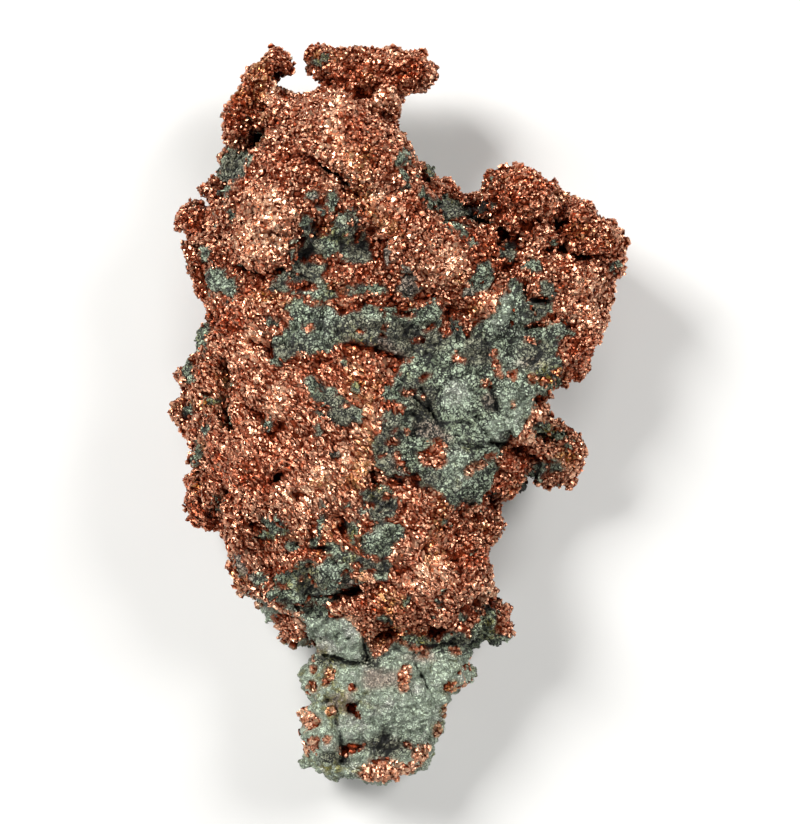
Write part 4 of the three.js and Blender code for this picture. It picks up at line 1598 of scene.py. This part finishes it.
class Finishes:
    """The nugget's three materials, which share the same effects."""

    # How much painted shade the bare copper skin between the crystals gets.
    skin_shade: float = 0.55

    def __init__(self) -> None:
        """Build the shared effects once."""
        facets = facet_group()
        self.copper = CopperTone().group(facets)
        self.rock = RockTone().group(facets)

    def skin(self) -> bpy.types.Material:
        """Make the skin's finish: copper and rock, each where it shows.

        Returns:
            The material.
        """
        material, sketch, shader = principled("copper and rock skin")
        where = sketch.millimetres()
        shared = sketch.traits(Trait.PALE, Trait.RUDDY, Trait.OLIVE, Trait.HOLLOW)
        share = sketch.trait(Trait.ROCK)
        # Painted shade: the bare skin between crystals is darkened like a hollow, less where it is pale.
        deep_shade = sketch.maths("MULTIPLY_ADD", shared["Pale"], -self.skin_shade, self.skin_shade)
        between = sketch.maths("MAXIMUM", shared["Hollow"], deep_shade)
        copper = self.copper.use(sketch, Place=where, Shade=0.5, **{**shared, "Hollow": between})
        rock = self.rock.use(sketch, Place=where, Shade=0.5, Dark=sketch.trait(Trait.DARK), **shared)
        colour = sketch.mix(share, copper["Colour"], rock["Colour"])
        sketch.feed(shader.inputs["Base Color"], colour)
        roughness = sketch.mix(share, copper["Roughness"], rock["Roughness"], "FLOAT")
        sketch.feed(shader.inputs["Roughness"], roughness)
        sketch.feed(shader.inputs["Metallic"], sketch.maths("SUBTRACT", 1.0, share))
        height = sketch.mix(share, copper["Height"], rock["Height"], "FLOAT")
        relief(sketch, shader, height, strength=0.9, depth=0.5 * MM)
        return material

    def crystals(self) -> bpy.types.Material:
        """Make the copper crystals' finish.

        Returns:
            The material.
        """
        material, sketch, shader = principled("copper crystals")
        traits = sketch.traits(Trait.PALE, Trait.RUDDY, Trait.OLIVE, Trait.HOLLOW)
        where, shade = sketch.millimetres(), sketch.trait(Trait.SHADE)
        copper = self.copper.use(sketch, Place=where, Shade=shade, **traits)
        sketch.feed(shader.inputs["Base Color"], copper["Colour"])
        sketch.feed(shader.inputs["Roughness"], copper["Roughness"])
        shader.inputs["Metallic"].default_value = 1.0
        relief(sketch, shader, copper["Height"], strength=0.4, depth=0.2 * MM)
        return material

    def grains(self) -> bpy.types.Material:
        """Make the rock flakes' finish.

        Returns:
            The material.
        """
        material, sketch, shader = principled("rock grains")
        where = sketch.millimetres()
        stone = (Trait.PALE, Trait.RUDDY, Trait.OLIVE, Trait.DARK, Trait.HOLLOW, Trait.SHADE)
        rock = self.rock.use(sketch, Place=where, **sketch.traits(*stone))
        sketch.feed(shader.inputs["Base Color"], rock["Colour"])
        sketch.feed(shader.inputs["Roughness"], rock["Roughness"])
        relief(sketch, shader, rock["Height"], strength=0.8, depth=0.25 * MM)
        return material


# ---------------------------------------------------------------------------------------------------------
# The nugget
# ---------------------------------------------------------------------------------------------------------


@dataclass
class NuggetSkin:
    """The whole surface of the nugget, remade from the construction model and carved in detail."""

    surface: Surface
    voxel: float = 0.345 * MM
    relax_steps: int = 9
    parting: float = 4.4 * MM
    nodules: int = 170
    nodule_radius: tuple[float, float] = (1.0, 2.6)
    nodule_stretch: tuple[float, float] = (0.8, 1.5)
    nodule_sink: float = 0.45
    nodule_seed: int = 29
    flank_lean: float = 0.35
    doubles: float = 1e-3 * MM
    hollow_steps: tuple[int, int] = (8, 80)

    def build(self, finish: bpy.types.Material) -> bpy.types.Mesh:
        """Make the skin as two pieces, upper and lower, that meet without a visible join.

        Args:
            finish: their material.

        Returns:
            The whole skin's mesh, which the crusts are seated on.
        """
        mesh = self._remeshed(self._rough_form())
        self._relax(mesh)
        points = read_vectors(mesh.vertices, "co") / MM
        points = points + sum(nudge.shift(points) for nudge in NUDGES)
        mesh.vertices.foreach_set("co", (points * MM).ravel())
        mesh.update()
        normals = read_vectors(mesh.vertices, "normal")
        carved = points + normals * self.surface.height(points, normals)[:, None]
        carved[:, 2] = np.maximum(carved[:, 2], 0.0)
        mesh.vertices.foreach_set("co", (carved * MM).ravel())
        mesh.update()
        self._store_traits(mesh)
        leaning = mesh.attributes.new("leaning", "FLOAT_VECTOR", "POINT")
        leaning.data.foreach_set("vector", read_vectors(mesh.vertices, "normal").ravel())
        for name, is_upper in (("nugget_upper", True), ("nugget_lower", False)):
            self._part(mesh, name, is_upper, finish)
        return mesh

    def _part(self, whole: bpy.types.Mesh, name: str, is_upper: bool, finish: bpy.types.Material) -> None:
        """Make one piece of the skin, closed where it meets the other.

        Args:
            whole: the whole skin.
            name: the piece's name.
            is_upper: whether it is the part above the parting, or else the part below.
            finish: its material.
        """
        form = bmesh.new()
        form.from_mesh(whole)
        cut = bmesh.ops.bisect_plane(
            form,
            geom=[*form.verts, *form.edges, *form.faces],
            plane_co=(0.0, self.parting, 0.0),
            plane_no=(0.0, 1.0, 0.0),
            clear_inner=is_upper,
            clear_outer=not is_upper,
        )
        rim = [item for item in cut["geom_cut"] if isinstance(item, bmesh.types.BMEdge)]
        cap = bmesh.ops.holes_fill(form, edges=rim, sides=0)
        bmesh.ops.triangulate(form, faces=cap["faces"])
        bmesh.ops.recalc_face_normals(form, faces=form.faces)
        mesh = finished_mesh(form, name)
        mesh.polygons.foreach_set("use_smooth", np.ones(len(mesh.polygons), dtype=bool))
        leaning = read_vectors(mesh.attributes["leaning"].data, "vector")
        mesh.normals_split_custom_set_from_vertices(leaning)
        mesh.attributes.remove(mesh.attributes["leaning"])
        piece = place(mesh, name, finish)
        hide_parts(NODE)
        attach(piece, BODY)
        LOG.info("%s: %d faces", name, len(mesh.polygons))

    def _rough_form(self) -> bpy.types.Mesh:
        """Take the construction model's solid, and scatter small nodules over its flanks and back.

        Returns:
            The solid and the nodules, pushed into one another.
        """
        form = bmesh.new()
        form.from_mesh(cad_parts[NODE].data)
        bmesh.ops.remove_doubles(form, verts=form.verts, dist=self.doubles)
        form.faces.ensure_lookup_table()
        flanks = (face for face in form.faces if face.normal.z < self.flank_lean)
        sites = [face for face in flanks if face.calc_center_median().z > 2 * MM]
        random = np.random.default_rng(self.nodule_seed)
        for pick in random.choice(len(sites), self.nodules, replace=False):
            face = sites[pick]
            radius = random.uniform(*self.nodule_radius) * MM
            stretch = Matrix.Diagonal((*random.uniform(*self.nodule_stretch, 3), 1.0))
            centre = face.calc_center_median() - face.normal * radius * self.nodule_sink
            centre.z = max(centre.z, 1.3 * radius)
            where = Matrix.Translation(centre) @ stretch
            bmesh.ops.create_icosphere(form, subdivisions=2, radius=radius, matrix=where)
        for middle, radius in FILLERS:
            where = Matrix.Translation(Vector(middle) * MM)
            bmesh.ops.create_icosphere(form, subdivisions=2, radius=radius * MM, matrix=where)
        return finished_mesh(form, "rough form")

    def _remeshed(self, rough: bpy.types.Mesh) -> bpy.types.Mesh:
        """Wrap one even skin around everything in the rough form.

        Args:
            rough: the rough form, which is used up.

        Returns:
            The skin.
        """
        holder = bpy.data.objects.new("rough form", rough)
        bpy.context.scene.collection.objects.link(holder)
        remesh = holder.modifiers.new("skin", "REMESH")
        remesh.mode = "VOXEL"
        remesh.voxel_size = self.voxel
        graph = bpy.context.evaluated_depsgraph_get()
        mesh = bpy.data.meshes.new_from_object(holder.evaluated_get(graph))
        bpy.data.objects.remove(holder)
        bpy.data.meshes.remove(rough)
        mesh.name = "nugget_skin"
        return mesh

    def _relax(self, mesh: bpy.types.Mesh) -> None:
        """Smooth away the facets of the construction model.

        Args:
            mesh: the skin, which is changed in place.
        """
        form = bmesh.new()
        form.from_mesh(mesh)
        every_way = {"use_axis_x": True, "use_axis_y": True, "use_axis_z": True}
        for _ in range(self.relax_steps):
            bmesh.ops.smooth_vert(form, verts=form.verts, factor=0.5, **every_way)
        form.to_mesh(mesh)
        form.free()
        mesh.update()

    def _store_traits(self, mesh: bpy.types.Mesh) -> None:
        """Work out what the skin is like at each of its points, and store it.

        Args:
            mesh: the carved skin.
        """
        points = read_vectors(mesh.vertices, "co") / MM
        normals = read_vectors(mesh.vertices, "normal")
        for trait, values in self.surface.traits(points, normals).items():
            write_trait(mesh, trait, values)
        # How far each point lies below its near and wider surroundings; the finishes darken these hollows as
        # painted shade.
        fine, broad = (self._sunken(mesh, points, normals, steps) for steps in self.hollow_steps)
        hollow = smoothstep(0.05, 0.28, fine) * 0.6 + smoothstep(0.2, 1.3, broad) * 0.7
        write_trait(mesh, Trait.HOLLOW, np.clip(hollow, 0.0, 1.0))

    @staticmethod
    def _sunken(mesh: bpy.types.Mesh, points: np.ndarray, normals: np.ndarray, steps: int) -> np.ndarray:
        """How far each point lies below its surroundings.

        Args:
            mesh: gives the edges.
            points: N x 3 places in millimetres.
            normals: N x 3 directions.
            steps: how many rounds of averaging make the surroundings.

        Returns:
            N depths in millimetres.
        """
        flat = np.empty(2 * len(mesh.edges), dtype=np.int32)
        mesh.edges.foreach_get("vertices", flat)
        first, second = flat.reshape(-1, 2).T
        ends, others = np.concatenate([first, second]), np.concatenate([second, first])
        links = np.bincount(ends, minlength=len(points)).clip(1)
        around = points.copy()
        for _ in range(steps):
            for axis in range(3):
                around[:, axis] = np.bincount(ends, around[others, axis], len(points)) / links
        return np.sum((around - points) * normals, axis=1)


class Shape(Enum):
    """The shapes of the small pieces of the crust."""

    OCTAHEDRON = "octahedron"
    CUBE = "cube"
    ROUNDED = "rounded"


def small_shape(shape: Shape) -> tuple[np.ndarray, np.ndarray]:
    """Model one small piece of the crust, about one unit across.

    Args:
        shape: which shape.

    Returns:
        Its points (N x 3) and its triangles (M x 3).
    """
    form = bmesh.new()
    if shape is Shape.OCTAHEDRON:
        bmesh.ops.create_uvsphere(form, u_segments=4, v_segments=2, radius=0.62)
    elif shape is Shape.CUBE:
        bmesh.ops.create_cube(form, size=0.82)
    else:
        bmesh.ops.create_icosphere(form, subdivisions=1, radius=0.52)
    bmesh.ops.triangulate(form, faces=form.faces)
    form.verts.index_update()
    points = np.array([vertex.co[:] for vertex in form.verts])
    triangles = np.array([[vertex.index for vertex in face.verts] for face in form.faces])
    form.free()
    return points, triangles


@dataclass
class Crust:
    """Thousands of small crystals or flakes, seated on the skin and joined in one mesh."""

    name: str
    count: int
    size: tuple[float, float]
    on_rock: bool
    facing: tuple[float, float]
    shapes: tuple[Shape, ...]
    seed: int
    surface: Surface = Surface()
    stretch: float = 1.3
    strand_stretch: tuple[float, float, float] = (1.7, 0.84, 0.8)
    raggedness: float = 0.09
    seat: float = 0.1
    base_shade: float = 1.0
    base_growth: float = 0.9
    pale_growth: float = 0.2
    pale_thinning: float = 0.0
    hollow_thinning: float = 0.8
    pale_only: bool = False
    scatter: float = 0.12
    strand_share: float = 0.85
    strand_scatter: float = 0.35
    flake: tuple[float, float, float] = (1.5, 1.15, 0.55)
    lean: float = 0.35

    def build(self, skin: bpy.types.Mesh, finish: bpy.types.Material) -> bpy.types.Object:
        """Make the crust.

        Args:
            skin: the mesh that it sits on.
            finish: its material.

        Returns:
            The finished piece.
        """
        random = np.random.default_rng(self.seed)
        points, normals, traits = self._sites(skin, random)
        growth = self.base_growth + self.pale_growth * traits[Trait.PALE]
        blocks = []
        for share, shape in enumerate(self.shapes):
            chosen = np.arange(share, len(points), len(self.shapes))
            blocks.append(self._block(shape, points[chosen], normals[chosen], growth[chosen], chosen, random))
        mesh = self._joined(blocks, traits)
        piece = place(mesh, self.name, finish)
        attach(piece, BODY)
        return piece

    def _sites(
        self, mesh: bpy.types.Mesh, random: np.random.Generator
    ) -> tuple[np.ndarray, np.ndarray, dict[Trait, np.ndarray]]:
        """Choose where the pieces sit, evenly over the part of the skin that is theirs.

        Args:
            mesh: the skin.
            random: the source of chance.

        Returns:
            Places in millimetres, directions, and the skin's traits there.
        """
        corners = np.empty(len(mesh.loops), dtype=np.int32)
        mesh.loops.foreach_get("vertex_index", corners)
        corners = corners.reshape(-1, 4)
        areas = np.empty(len(mesh.polygons))
        mesh.polygons.foreach_get("area", areas)
        normals = read_vectors(mesh.polygons, "normal")
        centres = read_vectors(mesh.polygons, "center") / MM
        skin_traits = {}
        for trait in (Trait.ROCK, Trait.PALE, Trait.RUDDY, Trait.OLIVE, Trait.DARK, Trait.HOLLOW):
            values = np.empty(len(mesh.vertices), dtype=np.float32)
            mesh.attributes[trait.value].data.foreach_get("value", values)
            skin_traits[trait] = values[corners].mean(axis=1)
        rock = skin_traits[Trait.ROCK]
        belongs = rock if self.on_rock else 1.0 - rock
        (low, high), up, ease = self.facing, normals[:, 2], 0.1
        within = smoothstep(low - ease, low + ease, up) * smoothstep(high + ease, high - ease, up)
        above_table = smoothstep(0.3, 1.2, centres[:, 2])
        open_here = 1.0 - self.hollow_thinning * skin_traits[Trait.HOLLOW]
        weights = areas * belongs**2 * within * above_table * open_here
        weights *= 1.0 - self.pale_thinning * skin_traits[Trait.PALE]
        if self.on_rock:
            weights *= smoothstep(0.4, -0.4, deepest(BARE_SPOTS, centres))
        if self.pale_only:
            weights *= smoothstep(0.3, 0.9, skin_traits[Trait.PALE])
        reach = np.cumsum(weights)
        picks = (np.arange(self.count) + random.random(self.count)) / self.count * reach[-1]
        chosen = np.searchsorted(reach, picks).clip(0, len(reach) - 1)
        jitter = random.normal(0.0, self.scatter, (self.count, 3))
        chosen = chosen[random.permutation(self.count)]
        traits = {trait: values[chosen] for trait, values in skin_traits.items()}
        traits[Trait.SHADE] = random.random(self.count)
        return centres[chosen] + jitter, normals[chosen], traits

    def _block(
        self,
        shape: Shape,
        points: np.ndarray,
        normals: np.ndarray,
        growth: np.ndarray,
        chosen: np.ndarray,
        random: np.random.Generator,
    ) -> tuple[np.ndarray, np.ndarray, np.ndarray, np.ndarray]:
        """Lay out all the pieces of one shape.

        Args:
            shape: their shape.
            points: where they sit, in millimetres.
            normals: which way the skin faces there.
            growth: how much larger than usual each one is.
            chosen: their numbers among all the sites.
            random: the source of chance.

        Returns:
            Their points, their triangles, how much painted shade each point gets for sitting low on its
            piece, and the number of its site.
        """
        template, triangles = small_shape(shape)
        count = len(points)
        low, high = self.size
        sizes = (low + (high - low) * random.random(count) ** 2.0) * growth
        stretch = random.uniform(1.0 / self.stretch, self.stretch, (count, 3))
        turns = self._random_turns(count, random)
        if self.on_rock:
            turns = self._lying_turns(normals, random.uniform(0.0, math.tau, count), random)
            stretch = stretch * np.array(self.flake)
        else:
            strand = random.random(count) < self.strand_share * self.surface.strands(points, normals)
            angle = np.radians(self.surface.strand_turn)
            angle = angle + random.normal(0.0, self.strand_scatter, strand.sum())
            turns[strand] = self._lying_turns(normals[strand], angle, random)
            stretch[strand] = np.array(self.strand_stretch)
        shaped = template[None] * stretch[:, None, :]
        shaped += random.normal(0.0, self.raggedness, shaped.shape)
        turned = np.einsum("nij,nkj->nki", turns, shaped) * sizes[:, None, None]
        seated = points + normals * (self.seat * sizes)[:, None]
        seated[:, 2] = np.maximum(seated[:, 2], 0.8 * sizes)
        # Painted shade: points low on each piece, near the skin, are marked to be darkened through the hollow
        # trait.
        lift = np.einsum("nki,ni->nk", turned, normals) / sizes[:, None]
        low_shade = self.base_shade * smoothstep(0.34, -0.26, lift)
        numbered = triangles[None] + (np.arange(count) * len(template))[:, None, None]
        placed = turned + seated[:, None, :]
        owners = np.repeat(chosen, len(template))
        return placed.reshape(-1, 3), numbered.reshape(-1, 3), low_shade.ravel(), owners

    @staticmethod
    def _random_turns(count: int, random: np.random.Generator) -> np.ndarray:
        """Draw rotations, every direction as likely as any other.

        Args:
            count: how many.
            random: the source of chance.

        Returns:
            N rotations, each 3 x 3.
        """
        quaternion = random.normal(size=(count, 4))
        w, x, y, z = (quaternion / np.linalg.norm(quaternion, axis=1, keepdims=True)).T
        rows = [
            [1 - 2 * (y * y + z * z), 2 * (x * y - z * w), 2 * (x * z + y * w)],
            [2 * (x * y + z * w), 1 - 2 * (x * x + z * z), 2 * (y * z - x * w)],
            [2 * (x * z - y * w), 2 * (y * z + x * w), 1 - 2 * (x * x + y * y)],
        ]
        return np.moveaxis(np.array(rows), 2, 0)

    def _lying_turns(
        self, normals: np.ndarray, angles: np.ndarray, random: np.random.Generator
    ) -> np.ndarray:
        """Rotations that lay pieces along the skin, give or take.

        Args:
            normals: which way the skin faces at each piece.
            angles: which way each piece points, in radians from the X axis.
            random: the source of chance.

        Returns:
            N rotations, each 3 x 3.
        """
        rise = random.normal(0.0, 0.25, len(normals))
        along = np.stack([np.cos(angles), np.sin(angles), rise], axis=1)
        leaning = normals + (self.lean if self.on_rock else 0.0) * random.normal(size=normals.shape)
        leaning /= np.linalg.norm(leaning, axis=1, keepdims=True)
        along -= leaning * np.sum(along * leaning, axis=1, keepdims=True)
        along /= np.linalg.norm(along, axis=1, keepdims=True)
        return np.stack([along, np.cross(leaning, along), leaning], axis=2)

    def _joined(
        self, blocks: list[tuple[np.ndarray, ...]], traits: dict[Trait, np.ndarray]
    ) -> bpy.types.Mesh:
        """Join the blocks of pieces in one mesh that carries their traits.

        Args:
            blocks: what each shape's block is made of.
            traits: the skin's traits at every site.

        Returns:
            The mesh.
        """
        starts = np.cumsum([0] + [len(block[0]) for block in blocks[:-1]])
        points = np.concatenate([block[0] for block in blocks]) * MM
        points[:, 2] = np.maximum(points[:, 2], 0.0)
        triangles = np.concatenate([block[1] + start for block, start in zip(blocks, starts)])
        low_shade = np.concatenate([block[2] for block in blocks])
        owners = np.concatenate([block[3] for block in blocks])
        mesh = bpy.data.meshes.new(self.name)
        mesh.from_pydata(points, (), triangles)
        for trait, values in traits.items():
            known = values[owners]
            # The low parts of each piece carry their painted shade in the hollow trait.
            write_trait(mesh, trait, np.maximum(known, low_shade) if trait is Trait.HOLLOW else known)
        mesh.polygons.foreach_set("use_smooth", np.zeros(len(mesh.polygons), dtype=bool))
        mesh.update()
        return mesh


# The crusts: which shapes they mix, and how far up the skin faces where they grow, from -1 (down) to 1 (up).
ALL_ROUNDED = (Shape.ROUNDED,)
MIXED = (Shape.ROUNDED, Shape.OCTAHEDRON, Shape.CUBE)
UPPER = (0.12, 1.2)
LOWER = (-1.2, 0.12)
CRUSTS = (
    Crust("fine_crystals", 9900, (0.36, 0.68), False, UPPER, ALL_ROUNDED, 51),
    Crust("sugary_crystals", 9900, (0.45, 1.0), False, UPPER, ALL_ROUNDED, 52),
    Crust("bright_crystals", 14500, (0.34, 0.7), False, UPPER, MIXED, 54),
    Crust("fresh_crystals", 1700, (0.6, 1.05), False, UPPER, ALL_ROUNDED, 55, pale_only=True),
    Crust("flank_crystals", 14000, (0.45, 0.95), False, LOWER, MIXED, 53),
    Crust(
        "rock_flakes", 4600, (0.24, 0.52), True, (-0.2, 1.2), MIXED, 61,
        base_shade=0.6, base_growth=1.0, pale_growth=-0.25, pale_thinning=0.5,
    ),
)


# ---------------------------------------------------------------------------------------------------------
# The studio
# ---------------------------------------------------------------------------------------------------------


@dataclass(frozen=True)
class Softbox:
    """A square area light that looks at the nugget: its direction in degrees, distance, side and power."""

    name: str
    azimuth: float
    elevation: float
    distance: float
    side: float
    power: float

    def build(self, target: Vector) -> None:
        """Hang the light.

        Args:
            target: what it looks at.
        """
        lamp = bpy.data.lights.new(self.name, "AREA")
        lamp.size = self.side
        lamp.energy = self.power
        light = bpy.data.objects.new(self.name, lamp)
        bpy.context.scene.collection.objects.link(light)
        turn, lift = math.radians(self.azimuth), math.radians(self.elevation)
        away = Vector((math.cos(lift) * math.sin(turn), math.cos(lift) * math.cos(turn), math.sin(lift)))
        light.location = target + self.distance * away
        light.rotation_euler = away.to_track_quat("Z", "Y").to_euler()


@dataclass
class Studio:
    """A plain pale floor, soft lights and the camera that looks straight down on the nugget."""

    floor_side: float = 3.0
    floor_drop: float = 0.05 * MM
    floor_tints: tuple[Tint, Tint] = (linear(214, 213, 210), linear(224, 223, 220))
    room_tint: Tint = (0.9, 0.93, 1.0, 1.0)
    room_strength: float = 0.05
    lens: float = 90.0
    sensor: float = 36.0
    frame_height: float = 115.4 * MM
    lights: tuple[Softbox, ...] = (
        Softbox("key softbox", -50.0, 45.0, 0.55, 0.2, 3.9),
        Softbox("fill softbox", 62.0, 40.0, 0.55, 0.22, 2.35),
        Softbox("foot softbox", 185.0, 42.0, 0.6, 0.3, 1.55),
    )

    def build(self) -> None:
        """Set up the floor, the lights and the camera."""
        low, high = (Vector(corner) for corner in CAD_BOX)
        middle = (low + high) / 2
        self._floor()
        for light in self.lights:
            light.build(middle)
        self._backdrop()
        self._camera(middle)

    def _floor(self) -> None:
        """A wide pale sheet that the nugget lies on."""
        form = bmesh.new()
        bmesh.ops.create_grid(form, x_segments=2, y_segments=2, size=self.floor_side / 2)
        bmesh.ops.translate(form, verts=form.verts, vec=(0.0, 0.0, -self.floor_drop))
        mesh = finished_mesh(form, "floor")
        material, sketch, shader = principled("pale floor")
        cloud = sketch.noise(sketch.millimetres(), 0.02, 3.0)
        colour = sketch.mix(cloud, *self.floor_tints)
        sketch.feed(shader.inputs["Base Color"], colour)
        shader.inputs["Roughness"].default_value = 0.85
        place(mesh, "floor", material)

    def _backdrop(self) -> None:
        """The dim, even light of the room."""
        world = bpy.data.worlds.new("room")
        world.use_nodes = True
        background = world.node_tree.nodes["Background"].inputs
        background["Color"].default_value = self.room_tint
        background["Strength"].default_value = self.room_strength
        bpy.context.scene.world = world
        bpy.context.scene.view_settings.view_transform = "Standard"

    def _camera(self, middle: Vector) -> None:
        """Set the camera above the nugget, with the nugget's long side upright in its frame.

        Args:
            middle: the middle of the nugget.
        """
        lens = bpy.data.cameras.new("camera")
        lens.lens = self.lens
        lens.sensor_width = self.sensor
        camera = bpy.data.objects.new("camera", lens)
        bpy.context.scene.collection.objects.link(camera)
        distance = self.frame_height * self.lens / self.sensor
        camera.location = (middle.x, middle.y, middle.z + distance)
        bpy.context.scene.camera = camera


def main() -> None:
    """Build the nugget and its studio, and report each piece."""
    logging.basicConfig(level=logging.INFO, format="%(message)s")
    finishes = Finishes()
    skin = NuggetSkin(Surface()).build(finishes.skin())
    for crust in CRUSTS:
        finish = finishes.grains() if crust.on_rock else finishes.crystals()
        piece = crust.build(skin, finish)
        LOG.info("%s: %d faces", piece.name, len(piece.data.polygons))
    Studio().build()


if __name__ == "__main__":
    main()
